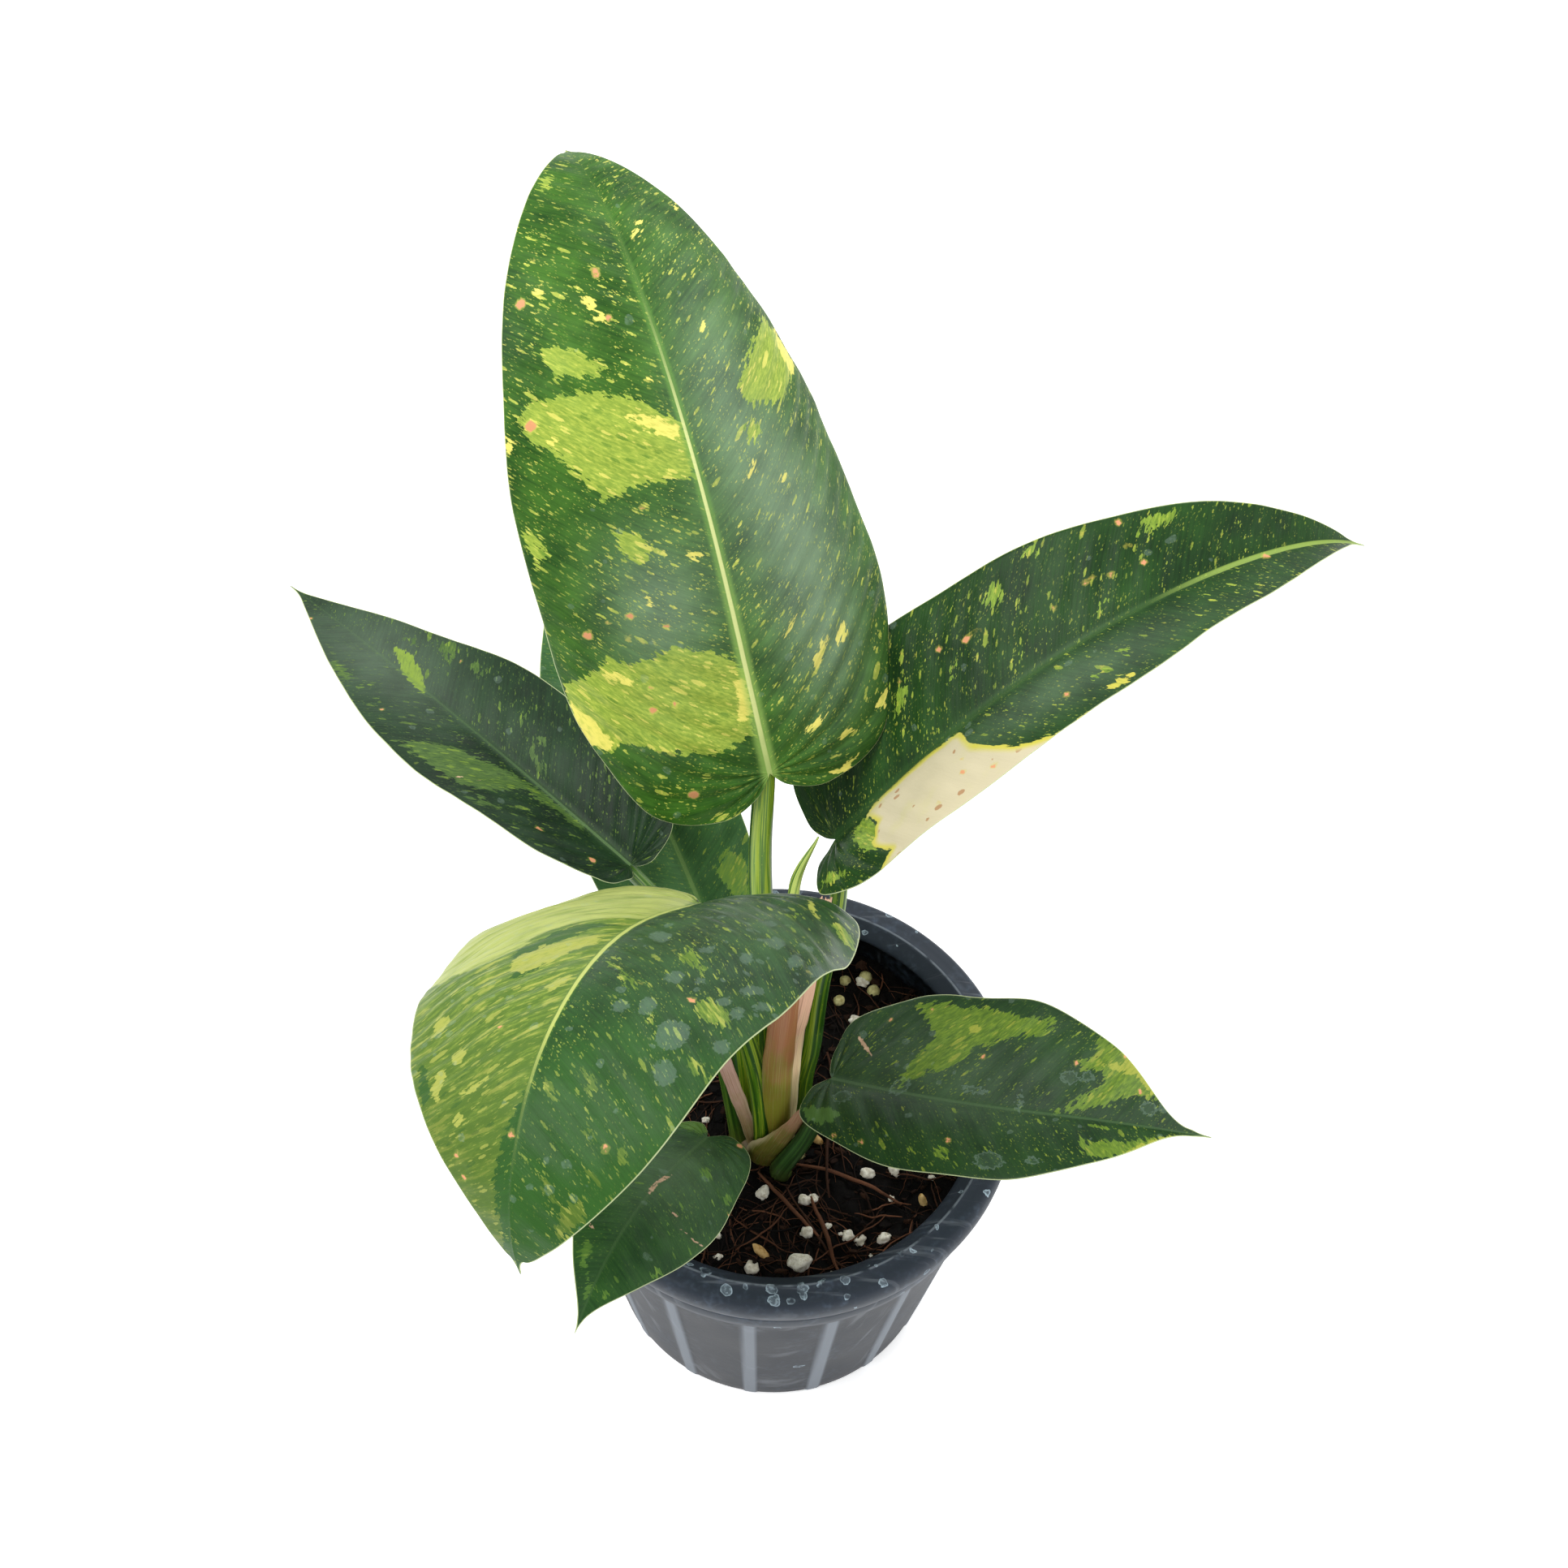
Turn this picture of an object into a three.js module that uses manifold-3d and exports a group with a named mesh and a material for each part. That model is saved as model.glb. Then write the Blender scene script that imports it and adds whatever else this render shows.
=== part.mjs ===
// A variegated green congo philodendron in a black plastic nursery pot. Millimetres, +Z up.
// The origin is the middle of the pot's flat underside. The plant leans back towards +Y.
import * as THREE from "three";
import { mergeVertices } from "three/addons/utils/BufferGeometryUtils.js";
import Module from "manifold-3d";

const wasm = await Module();
wasm.setup();

// Clearance between two pieces that touch
const GAP = 0.3;

// Pot
const POT_HEIGHT = 128.7;
const RIM_RADIUS = 80.2;
const POT_BASE_RADIUS = 57.2;
const BODY_TOP_RADIUS = 73.2;
const BODY_TOP = 100.5;
const WALL = 1.7;
const FLOOR = 2.4;
const POT_SIDES = 40;
const STRIPES = 16;
const STRIPE_WIDTH = 4.4;
const STRIPE_RAISE = 0.4;
const FIRST_STRIPE_DEG = -96;
const DRAIN_HOLES = 8;
const DRAIN_RADIUS = 5;
const DRAIN_CIRCLE = 40;

// Potting mix
const SOIL_LEVEL = 106;
const SOIL_RINGS = 6;
const SOIL_SIDES = 28;
const GRAINS = 26;
const GRAIN_SIZE = [2.0, 4.2];
const FIBRES = 26;
const FIBRE_LENGTH = [14, 44];
const FIBRE_RADIUS = [0.45, 1.0];

// Crown
const CROWN_CENTRE = [-3, -7];
const CROWN_TOP = 109;

// Blades
const BLADE_THICKNESS = 0.8;
const BLADE_ROWS = 21;
const HALF_COLUMNS = 4;
const VEIN_SWEEP = 0.1;
const PETIOLE_SIDES = 7;
const HOLE_SIDES = 8;

// Each leaf: foot is where its petiole leaves the crown, base is where the blade starts.
// Angles are in degrees. Heading turns by veer and elevation falls by droop, out to the tip.
// wide holds the half widths left and right of the midrib. fold and curl are how far each half is
// folded up from the midrib and bent on to its margin, at the base and at the tip.
// shape holds fractions of the length and of the half width that set the outline.
const LEAVES = [
  {
    name: "leaf_1", colour: 0x3f7a2a, foot: [-2, -1], base: [-6.5, 44.5, 254], petiole: [4.6, 3.4],
    heading: 119, veer: -7, elevation: 63, droop: 99, droopPower: 2.5, length: 228, wide: [58, 58],
    roll: [0, 7], fold: [[2, 8], [3, 4]], curl: [[-59, -27], [-24, -94]], wave: [1.2, 3.4, 0.1],
    shape: { widest: 0.2, lobe: 0.05, tip: 0.04, upper: 0.97, taper: 0.68, lobeAt: 0.34, shoulder: 0.91 },
  },
  {
    name: "leaf_2", colour: 0x264a2c, foot: [-12, -8], base: [-51, 42, 200], petiole: [3.2, 2.5],
    heading: 141, veer: -6, elevation: 10, droop: 24, droopPower: 1, length: 164, wide: [37, 30],
    roll: [4, 4], fold: [[42, 7], [41, 5]], curl: [[1, -17], [-11, -20]], wave: [1, 3, 0.6],
    shape: { widest: 0.18, lobe: 0.03, tip: 0.07, upper: 0.88, taper: 0.49, lobeAt: 0.27, shoulder: 0.93 },
  },
  {
    name: "leaf_3", colour: 0x2a5230, foot: [-11, 1], base: [-23.5, 40, 157], petiole: [3, 2.4],
    heading: 121, veer: 3, elevation: 42, droop: 36, droopPower: 1.3, length: 131, wide: [32, 25],
    roll: [0, -1], fold: [[18, 11], [19, 12]], curl: [[-23, -16], [-23, -16]], wave: [1, 3, 0.3],
    shape: { widest: 0.36, lobe: 0.07, tip: 0.06, upper: 0.86, taper: 0.52, lobeAt: 0.43, shoulder: 0.93 },
  },
  {
    name: "leaf_4", colour: 0x2c5a30, foot: [10, -3], base: [15, 45.5, 215], petiole: [3.4, 2.6],
    heading: 17, veer: 17, elevation: 56, droop: 98, droopPower: 1.6, length: 214, wide: [42, 34],
    roll: [-5, 5], fold: [[22, 21], [28, 17]], curl: [[-16, -5], [-15, 1]], wave: [1.2, 4, 0.2],
    shape: { widest: 0.18, lobe: 0.03, tip: 0.06, upper: 0.86, taper: 0.54, lobeAt: 0.29, shoulder: 0.96 },
  },
  {
    name: "leaf_5", colour: 0x3d7030, foot: [-6, -11], base: [-26, 2, 245], petiole: [3.2, 2.6],
    heading: 238, veer: 24, elevation: 50, droop: 135, droopPower: 2.5, length: 194, wide: [60, 60],
    roll: [16, 17], fold: [[30, -12], [5, -12]], curl: [[-65, -18], [-42, -16]], wave: [1.5, 3, 0.4],
    shape: { widest: 0.34, lobe: 0.11, tip: 0.03, upper: 0.88, taper: 0.61, lobeAt: 0.56, shoulder: 1 },
  },
  {
    name: "leaf_6", colour: 0x2b5528, foot: [2, -18.5], base: [17, -11.5, 159], petiole: [3.4, 2.2],
    heading: -22, veer: 16, elevation: 19, droop: 8, droopPower: 1, length: 124, wide: [39, 30],
    roll: [-11, -4], fold: [[8, 23], [17, 26]], curl: [[0, -9], [-43, -32]], wave: [0.9, 3, 0.7],
    shape: { widest: 0.27, lobe: 0.03, tip: 0.08, upper: 0.97, taper: 0.62, lobeAt: 0.3, shoulder: 0.88 },
  },
  {
    name: "leaf_7", colour: 0x244a2a, foot: [-11, -16], base: [-23, -29, 148], petiole: [2.8, 2],
    heading: 242, veer: 11, elevation: 38, droop: 50, droopPower: 2.7, length: 106, wide: [25, 20],
    roll: [3, -16], fold: [[3, 7], [3, 14]], curl: [[-46, -20], [-41, -13]], wave: [0.8, 3, 0.5],
    shape: { widest: 0.38, lobe: 0.07, tip: 0.06, upper: 0.91, taper: 0.54, lobeAt: 0.3, shoulder: 0.89 },
  },
];

// The rolled new leaf: a spike that leans back from the crown.
const SPIKE_PATH = [[2, -9.5, 102], [2.5, -7.5, 125], [4.5, 3, 160], [6.5, 17, 195], [9, 36, 232]];
const SPIKE_RADII = [3.2, 3.8, 3.6, 2.4, 0.4];

// Cataphylls: thin channels, open on their back, along a line of points from the crown up.
// facing is the heading in degrees that the closed side looks to, hug is how far round it goes.
const CATAPHYLLS = [
  {
    name: "cataphyll_1", colour: 0xd9ab92, facing: 235, hug: [120, 60],
    path: [[-9, -12.5, 107.5], [-12.5, -13, 122], [-17, -11, 138], [-21, -7, 152]], radii: [3.4, 3.2, 2.6, 0.5],
  },
  {
    name: "cataphyll_2", colour: 0x9a7a48, facing: 275, hug: [190, 90],
    path: [[2, -9.5, 107.5], [2.3, -8.5, 122], [3.2, -3.5, 140], [5.5, 5, 160]], radii: [5.2, 5.4, 5, 2],
  },
  {
    name: "cataphyll_3", colour: 0xe0a184, facing: 100, hug: [110, 60],
    path: [[10, -3, 107.5], [10.5, 3, 135], [12, 17, 170], [13, 29, 203]], radii: [4.6, 4.6, 4.2, 3.4],
  },
  {
    name: "cataphyll_4", colour: 0x8f7a45, facing: 292, hug: [170, 40],
    path: [[0.5, -17, 108.5], [4, -18, 113], [8.5, -16, 118.5], [12.5, -12, 124]], radii: [5.6, 5.6, 4.6, 1.5],
  },
];

// Makes one closed body of shared corner points and triangles.
function solid(points, triangles) {
  const geometry = new THREE.BufferGeometry();
  const numbers = points.flatMap((p) => [p.x, p.y, p.z]);
  geometry.setAttribute("position", new THREE.Float32BufferAttribute(numbers, 3));
  geometry.setIndex(triangles.flat());
  return solidOf(geometry);
}

// Makes a solid of any closed three.js geometry.
function solidOf(geometry) {
  const bare = new THREE.BufferGeometry();
  bare.setAttribute("position", geometry.getAttribute("position"));
  bare.setIndex(geometry.index);
  const merged = mergeVertices(bare, 1e-4);
  const index = merged.index.array;
  const triVerts = [];
  for (let i = 0; i < index.length; i += 3) {
    const [a, b, c] = [index[i], index[i + 1], index[i + 2]];
    if (a !== b && b !== c && c !== a) triVerts.push(a, b, c);
  }
  const mesh = new wasm.Mesh({
    numProp: 3,
    vertProperties: new Float32Array(merged.getAttribute("position").array),
    triVerts: new Uint32Array(triVerts),
  });
  return new wasm.Manifold(mesh);
}

// Keeps the largest body that a cut leaves.
function largest(made) {
  const bodies = made.decompose();
  return bodies.reduce((a, b) => (b.volume() > a.volume() ? b : a));
}

// A repeatable draw between 0 and 1
function seeded(seed) {
  let state = seed;
  return () => {
    state = (state * 1664525 + 1013904223) % 4294967296;
    return state / 4294967296;
  };
}

const rad = THREE.MathUtils.degToRad;
const mix = THREE.MathUtils.lerp;

// A thin sheet on a grid of points, with the same split into triangles on both faces.
function sheet(points, normals, thickness) {
  const rows = points.length;
  const columns = points[0].length;
  const under = points.map((row, i) =>
    row.map((p, j) => p.clone().addScaledVector(normals[i][j], -thickness)),
  );
  const all = [...points.flat(), ...under.flat()];
  const top = (i, j) => i * columns + j;
  const low = (i, j) => rows * columns + i * columns + j;
  const triangles = [];
  for (let i = 0; i < rows - 1; i++) {
    for (let j = 0; j < columns - 1; j++) {
      triangles.push([top(i, j), top(i, j + 1), top(i + 1, j + 1)]);
      triangles.push([top(i, j), top(i + 1, j + 1), top(i + 1, j)]);
      triangles.push([low(i, j), low(i + 1, j + 1), low(i, j + 1)]);
      triangles.push([low(i, j), low(i + 1, j), low(i + 1, j + 1)]);
    }
  }
  const wall = (a, b, c, d) => triangles.push([a, b, c], [a, c, d]);
  for (let j = 0; j < columns - 1; j++) {
    wall(top(0, j + 1), top(0, j), low(0, j), low(0, j + 1));
    wall(top(rows - 1, j), top(rows - 1, j + 1), low(rows - 1, j + 1), low(rows - 1, j));
  }
  for (let i = 0; i < rows - 1; i++) {
    wall(top(i, 0), top(i + 1, 0), low(i + 1, 0), low(i, 0));
    wall(top(i + 1, columns - 1), top(i, columns - 1), low(i, columns - 1), low(i + 1, columns - 1));
  }
  return solid(all, triangles);
}

// A round stem along a curve, with a radius for each step.
function stem(curve, steps, radiusAt, sides = PETIOLE_SIDES) {
  const { normals, binormals } = curve.computeFrenetFrames(steps);
  const points = [];
  for (let i = 0; i <= steps; i++) {
    const centre = curve.getPointAt(i / steps);
    const radius = radiusAt(i / steps);
    for (let k = 0; k < sides; k++) {
      const turn = (2 * Math.PI * k) / sides;
      points.push(
        centre
          .clone()
          .addScaledVector(normals[i], radius * Math.cos(turn))
          .addScaledVector(binormals[i], radius * Math.sin(turn)),
      );
    }
  }
  const first = points.push(curve.getPointAt(0)) - 1;
  const last = points.push(curve.getPointAt(1)) - 1;
  const triangles = [];
  for (let k = 0; k < sides; k++) {
    const next = (k + 1) % sides;
    for (let i = 0; i < steps; i++) {
      const [a, b] = [i * sides + k, i * sides + next];
      triangles.push([a, b, b + sides], [a, b + sides, a + sides]);
    }
    triangles.push([first, next, k], [last, steps * sides + k, steps * sides + next]);
  }
  return solid(points, triangles);
}

// Radius at a fraction of the way along a list of radii
function along(list, share) {
  const place = share * (list.length - 1);
  const i = Math.min(Math.floor(place), list.length - 2);
  return mix(list[i], list[i + 1], place - i);
}

// The midrib's line and the directions across and out of the blade, at any share of its length.
function midribOf(leaf) {
  const steps = 100;
  const start = -0.25;
  const stations = [];
  const point = new THREE.Vector3();
  const size = (1 - start) / steps;
  const tangentAt = (a) => {
    const share = THREE.MathUtils.clamp(a, 0, 1);
    const up = rad(leaf.elevation - leaf.droop * share ** leaf.droopPower);
    const turn = rad(leaf.heading + leaf.veer * share);
    return new THREE.Vector3(Math.cos(up) * Math.cos(turn), Math.cos(up) * Math.sin(turn), Math.sin(up));
  };
  for (let i = 0; i <= steps; i++) {
    stations.push(point.clone());
    point.addScaledVector(tangentAt(start + (i + 0.5) * size), size * leaf.length);
  }
  const pointAt = (a) => {
    const place = THREE.MathUtils.clamp((a - start) / size, 0, steps - 1e-6);
    const i = Math.floor(place);
    return stations[i].clone().lerp(stations[i + 1], place - i);
  };
  const shift = new THREE.Vector3(...leaf.base).sub(pointAt(0));
  return (a) => {
    const share = THREE.MathUtils.clamp(a, 0, 1);
    const tangent = tangentAt(a);
    const turn = rad(leaf.heading + leaf.veer * share);
    const left = new THREE.Vector3(-Math.sin(turn), Math.cos(turn), 0);
    const out = tangent.clone().cross(left);
    const roll = rad(mix(leaf.roll[0], leaf.roll[1], share));
    const side = left.clone().multiplyScalar(Math.cos(roll)).addScaledVector(out, Math.sin(roll));
    const normal = out.clone().multiplyScalar(Math.cos(roll)).addScaledVector(left, -Math.sin(roll));
    return { point: pointAt(a).add(shift), tangent, side, normal };
  };
}

// The flat outline of a half blade: x along the length, y across the half width.
function outlineOf(shape) {
  const { widest, lobe, tip, upper, taper, lobeAt, shoulder } = shape;
  const rest = 1 - widest;
  const points = [
    [0, 0],
    [-0.62 * lobe, 0.3 * lobeAt],
    [-lobe, lobeAt],
    [-0.4 * lobe, (lobeAt + shoulder) / 2 + 0.07],
    [0.42 * widest, shoulder],
    [widest, 1],
    [widest + 0.36 * rest, upper],
    [widest + 0.68 * rest, taper],
    [1 - tip, 0.13],
    [1, 0],
  ];
  return new THREE.SplineCurve(points.map(([x, y]) => new THREE.Vector2(x, y)));
}

// A point of the blade and its outward direction. hand is 0 on the left half and 1 on the right.
function bladePoint(leaf, midrib, a, b, hand) {
  const { point, side, normal } = midrib(a);
  if (b === 0) return { point, normal };
  const share = THREE.MathUtils.clamp(a, 0, 1);
  const sign = hand === 0 ? 1 : -1;
  const fold = rad(mix(...leaf.fold[hand], share));
  const curl = rad(mix(...leaf.curl[hand], share)) || 1e-3;
  const [height, count, phase] = leaf.wave;
  const half = leaf.wide[hand];
  const across = (half * (Math.sin(fold + curl * b) - Math.sin(fold))) / curl;
  const lift = (-half * (Math.cos(fold + curl * b) - Math.cos(fold))) / curl;
  const ripple = height * b * b * Math.sin(2 * Math.PI * (count * a + phase + 0.3 * hand));
  point.addScaledVector(side, sign * across).addScaledVector(normal, lift + ripple);
  const slope = fold + curl * b;
  const outward = normal.clone().multiplyScalar(Math.cos(slope));
  outward.addScaledVector(side, -sign * Math.sin(slope));
  return { point, normal: outward };
}

// The blade, on rows that run from the midrib to the margin as its side veins do.
function bladeOf(leaf, midrib) {
  const outline = outlineOf(leaf.shape);
  const points = [];
  const normals = [];
  for (let i = 1; i <= BLADE_ROWS; i++) {
    const edge = outline.getPoint(i / BLADE_ROWS);
    const root = Math.max((edge.x - VEIN_SWEEP) / (1 - VEIN_SWEEP), 0);
    const row = [];
    for (let j = -HALF_COLUMNS; j <= HALF_COLUMNS; j++) {
      const share = Math.abs(j) / HALF_COLUMNS;
      row.push(bladePoint(leaf, midrib, mix(root, edge.x, share), edge.y * share, j < 0 ? 0 : 1));
    }
    points.push(row.map((v) => v.point));
    normals.push(row.map((v) => v.normal));
  }
  return sheet(points, normals, BLADE_THICKNESS);
}

// The petiole's line from the crown, running on as the rib under the blade.
function petioleCurve(leaf, midrib, sink = 0) {
  const foot = new THREE.Vector3(...leaf.foot, CROWN_TOP - 6 - sink);
  const base = midrib(0);
  const end = base.point.clone().addScaledVector(base.normal, -leaf.petiole[1] * 0.9);
  const reach = foot.distanceTo(end) / 3;
  const rise = end.clone().sub(foot).normalize().add(new THREE.Vector3(0, 0, 1)).normalize();
  return new THREE.CubicBezierCurve3(
    foot,
    foot.clone().addScaledVector(rise, reach),
    end.clone().addScaledVector(base.tangent, -reach),
    end,
  );
}

function leafOf(leaf) {
  const midrib = midribOf(leaf);
  const petiole = petioleCurve(leaf, midrib);
  const [low, high] = leaf.petiole;
  const points = petiole.getPoints(10);
  for (let a = 0.06; a < 0.93; a += 0.06) {
    const { point, normal } = midrib(a);
    points.push(point.addScaledVector(normal, -high * mix(0.85, 0.35, a) - 0.1));
  }
  const curve = new THREE.CatmullRomCurve3(points);
  const petioleShare = petiole.getLength() / curve.getLength();
  const radiusAt = (share) => {
    if (share < petioleShare) return mix(low, high, share / petioleShare);
    return mix(high, 0.5, ((share - petioleShare) / (1 - petioleShare)) ** 0.6);
  };
  const rib = stem(curve, 20, radiusAt);
  const hole = petioleCurve(leaf, midrib, 1);
  return { body: bladeOf(leaf, midrib).add(rib), hole, radius: low };
}

// A cataphyll: a channel of thin tissue that hugs the stems.
function cataphyllOf(part, thickness = 0.8, grow = 0) {
  const curve = new THREE.CatmullRomCurve3(part.path.map((p) => new THREE.Vector3(...p)));
  const rows = 8;
  const columns = 6;
  const facing = rad(part.facing);
  const out = new THREE.Vector3(Math.cos(facing), Math.sin(facing), 0);
  const points = [];
  const normals = [];
  for (let i = 0; i <= rows; i++) {
    const share = i / rows;
    const centre = curve.getPointAt(share);
    const tangent = curve.getTangentAt(share);
    const front = out.clone().addScaledVector(tangent, -out.dot(tangent)).normalize();
    const side = tangent.clone().cross(front);
    const radius = along(part.radii, share) + grow;
    const hug = rad(mix(part.hug[0], part.hug[1], share));
    const row = [];
    const outward = [];
    for (let j = 0; j <= columns; j++) {
      const turn = hug * (j / columns - 0.5);
      const ray = front.clone().multiplyScalar(Math.cos(turn)).addScaledVector(side, Math.sin(turn));
      row.push(centre.clone().addScaledVector(ray, radius));
      outward.push(ray);
    }
    points.push(row);
    normals.push(outward);
  }
  return sheet(points, normals, thickness);
}

// Crown: a short fleshy stem, sunk in the mix, with a plain hole for each stem.
function crownShape(grow = 0) {
  const profile = [
    [0, -34 - grow], [4 + grow, -33], [7 + grow, -24], [10 + grow, -14], [13 + grow, -7], [14 + grow, -3],
    [12 + grow, -0.8 + grow], [8, grow], [0, grow],
  ].map(([r, z]) => new THREE.Vector2(r, CROWN_TOP + z));
  const shape = new THREE.LatheGeometry(profile, 20).rotateX(Math.PI / 2);
  return solidOf(shape.translate(...CROWN_CENTRE, 0));
}

// Pot: a tapered wall with a rolled lip band, a skirt, raised stripes and drainage holes.
function potOf() {
  const profile = [
    [0, 0], [POT_BASE_RADIUS - 1.7, 0], [POT_BASE_RADIUS, 1.6], [BODY_TOP_RADIUS, BODY_TOP],
    [75.6, 102.2], [76.8, 110], [76.3, 111.5], [77.9, 114], [79.6, 118], [RIM_RADIUS, 122.5],
    [79.6, 126], [77.8, 127.6], [73.2, 128], [72.2, POT_HEIGHT], [71.2, 128.2], [67.6, 125],
    [66.8, 123.6], [67.4, 122.4], [70.8, 121], [BODY_TOP_RADIUS - WALL, BODY_TOP],
    [POT_BASE_RADIUS - WALL, FLOOR + 1], [POT_BASE_RADIUS - WALL - 1, FLOOR], [0, FLOOR],
  ].map(([r, z]) => new THREE.Vector2(r, z));
  let made = solidOf(new THREE.LatheGeometry(profile, POT_SIDES).rotateX(Math.PI / 2));
  const lean = Math.atan2(BODY_TOP_RADIUS - POT_BASE_RADIUS, BODY_TOP - 1.6);
  const stripeHeight = BODY_TOP - 4;
  for (let i = 0; i < STRIPES; i++) {
    const stripe = new THREE.BoxGeometry(1.6, STRIPE_WIDTH, stripeHeight);
    stripe.rotateY(lean);
    stripe.translate((POT_BASE_RADIUS + BODY_TOP_RADIUS) / 2 - 0.8 + STRIPE_RAISE, 0, BODY_TOP / 2 + 1);
    stripe.rotateZ(rad(FIRST_STRIPE_DEG + (360 / STRIPES) * i));
    made = made.add(solidOf(stripe));
  }
  for (let i = 0; i < DRAIN_HOLES; i++) {
    const hole = new THREE.CylinderGeometry(DRAIN_RADIUS, DRAIN_RADIUS, 4 * FLOOR, 12).rotateX(Math.PI / 2);
    const turn = (2 * Math.PI * i) / DRAIN_HOLES;
    hole.translate(DRAIN_CIRCLE * Math.cos(turn), DRAIN_CIRCLE * Math.sin(turn), 0);
    made = made.subtract(solidOf(hole));
  }
  return made;
}

// Height of the mix: heaped a little round the crown, with low lumps.
function soilHeight(x, y) {
  const far = Math.hypot(x, y) / 68;
  const lumps = 1.3 * Math.sin(x / 7.3 + 1.1) * Math.cos(y / 8.1) + 0.8 * Math.sin(x / 3.9 - y / 4.7);
  return SOIL_LEVEL + 1.5 * (1 - far * far) + lumps;
}

// Inner radius of the pot at a height
function innerRadius(z) {
  return mix(POT_BASE_RADIUS, BODY_TOP_RADIUS, z / BODY_TOP) - WALL - 3 * GAP;
}

// A lumpy grain, half sunk in the mix.
function grainOf(random) {
  const turn = 2 * Math.PI * random();
  const far = 22 + 40 * Math.sqrt(random());
  const size = mix(...GRAIN_SIZE, random() ** 2);
  const grain = new THREE.IcosahedronGeometry(size, 0);
  grain.scale(1, 0.7 + 0.5 * random(), 0.8);
  grain.rotateZ(Math.PI * random());
  const [x, y] = [far * Math.cos(turn), far * Math.sin(turn)];
  grain.translate(x, y, soilHeight(x, y) + 0.35 * size);
  return solidOf(grain);
}

// A bent fibre of coir, lying in the mix.
function fibreOf(random) {
  const turn = 2 * Math.PI * random();
  const far = 24 + 34 * Math.sqrt(random());
  const heading = Math.PI * random();
  const length = mix(...FIBRE_LENGTH, random());
  const radius = mix(...FIBRE_RADIUS, random());
  const bend = 0.3 * (random() - 0.5);
  const points = [-0.5, -0.17, 0.17, 0.5].map((share, i) => {
    const way = heading + bend * i;
    const x = far * Math.cos(turn) + share * length * Math.cos(way);
    const y = far * Math.sin(turn) + share * length * Math.sin(way);
    const pull = Math.min(1, 63 / Math.hypot(x, y));
    return new THREE.Vector3(x * pull, y * pull, soilHeight(x * pull, y * pull) + 0.4 * radius);
  });
  return stem(new THREE.CatmullRomCurve3(points), 3, () => radius, 3);
}

function soilOf() {
  const rings = [];
  for (let i = 1; i <= SOIL_RINGS; i++) rings.push((i / SOIL_RINGS) * innerRadius(SOIL_LEVEL - 4));
  const points = [new THREE.Vector3(0, 0, soilHeight(0, 0))];
  for (const radius of rings) {
    for (let k = 0; k < SOIL_SIDES; k++) {
      const turn = (2 * Math.PI * k) / SOIL_SIDES;
      const [x, y] = [radius * Math.cos(turn), radius * Math.sin(turn)];
      const edge = radius === rings.at(-1) ? -3 : 0;
      points.push(new THREE.Vector3(x, y, Math.min(soilHeight(x, y), SOIL_LEVEL + 2) + edge));
    }
  }
  const low = FLOOR + GAP + 0.8;
  for (let k = 0; k < SOIL_SIDES; k++) {
    const turn = (2 * Math.PI * k) / SOIL_SIDES;
    const radius = innerRadius(low);
    points.push(new THREE.Vector3(radius * Math.cos(turn), radius * Math.sin(turn), low));
  }
  const bottom = points.push(new THREE.Vector3(0, 0, low)) - 1;
  const triangles = [];
  for (let k = 0; k < SOIL_SIDES; k++) {
    const next = (k + 1) % SOIL_SIDES;
    triangles.push([0, 1 + k, 1 + next]);
    for (let i = 0; i < SOIL_RINGS; i++) {
      const [a, b] = [1 + i * SOIL_SIDES + k, 1 + i * SOIL_SIDES + next];
      triangles.push([a, a + SOIL_SIDES, b + SOIL_SIDES], [a, b + SOIL_SIDES, b]);
    }
    const rim = 1 + SOIL_RINGS * SOIL_SIDES;
    triangles.push([bottom, rim + next, rim + k]);
  }
  let made = solid(points, triangles);
  const random = seeded(11);
  for (let i = 0; i < GRAINS; i++) made = made.add(grainOf(random));
  for (let i = 0; i < FIBRES; i++) made = made.add(fibreOf(random));
  return made;
}

const plant = new THREE.Group();

// Puts a finished solid into the group as a named mesh.
function place(name, made, colour, roughness = 0.45) {
  const { vertProperties, triVerts, numProp } = made.getMesh();
  const geometry = new THREE.BufferGeometry();
  const numbers = [];
  for (let i = 0; i < vertProperties.length; i += numProp) numbers.push(...vertProperties.slice(i, i + 3));
  geometry.setAttribute("position", new THREE.Float32BufferAttribute(numbers, 3));
  geometry.setIndex(new THREE.BufferAttribute(triVerts, 1));
  const material = new THREE.MeshStandardMaterial({ color: colour, roughness, metalness: 0 });
  const mesh = new THREE.Mesh(geometry, material);
  mesh.name = name;
  plant.add(mesh);
}

const leaves = LEAVES.map((leaf) => ({ ...leafOf(leaf), name: leaf.name, colour: leaf.colour }));
const spikeCurve = new THREE.CatmullRomCurve3(SPIKE_PATH.map((p) => new THREE.Vector3(...p)));
const spike = stem(spikeCurve, 10, (share) => along(SPIKE_RADII, share));
const roundUp = Math.cos(Math.PI / HOLE_SIDES);
const holes = leaves.map((leaf) => stem(leaf.hole, 10, () => (leaf.radius + GAP) / roundUp, HOLE_SIDES));
holes.push(stem(spikeCurve, 10, (share) => (along(SPIKE_RADII, share) + GAP) / roundUp, HOLE_SIDES));
const cut = (made, cutters) => largest(cutters.reduce((body, cutter) => body.subtract(cutter), made));

const sheaths = CATAPHYLLS.map((part) => ({
  name: part.name,
  colour: part.colour,
  body: cut(cataphyllOf(part), holes),
  room: cataphyllOf(part, BLADE_THICKNESS + 3 * GAP, 1.5 * GAP),
}));
for (let i = 1; i < sheaths.length; i++) {
  for (let k = 0; k < i; k++) sheaths[i].body = largest(sheaths[i].body.subtract(sheaths[k].room));
}

const rooms = [...holes, ...sheaths.map((part) => part.room)];
const grains = soilOf();

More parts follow.
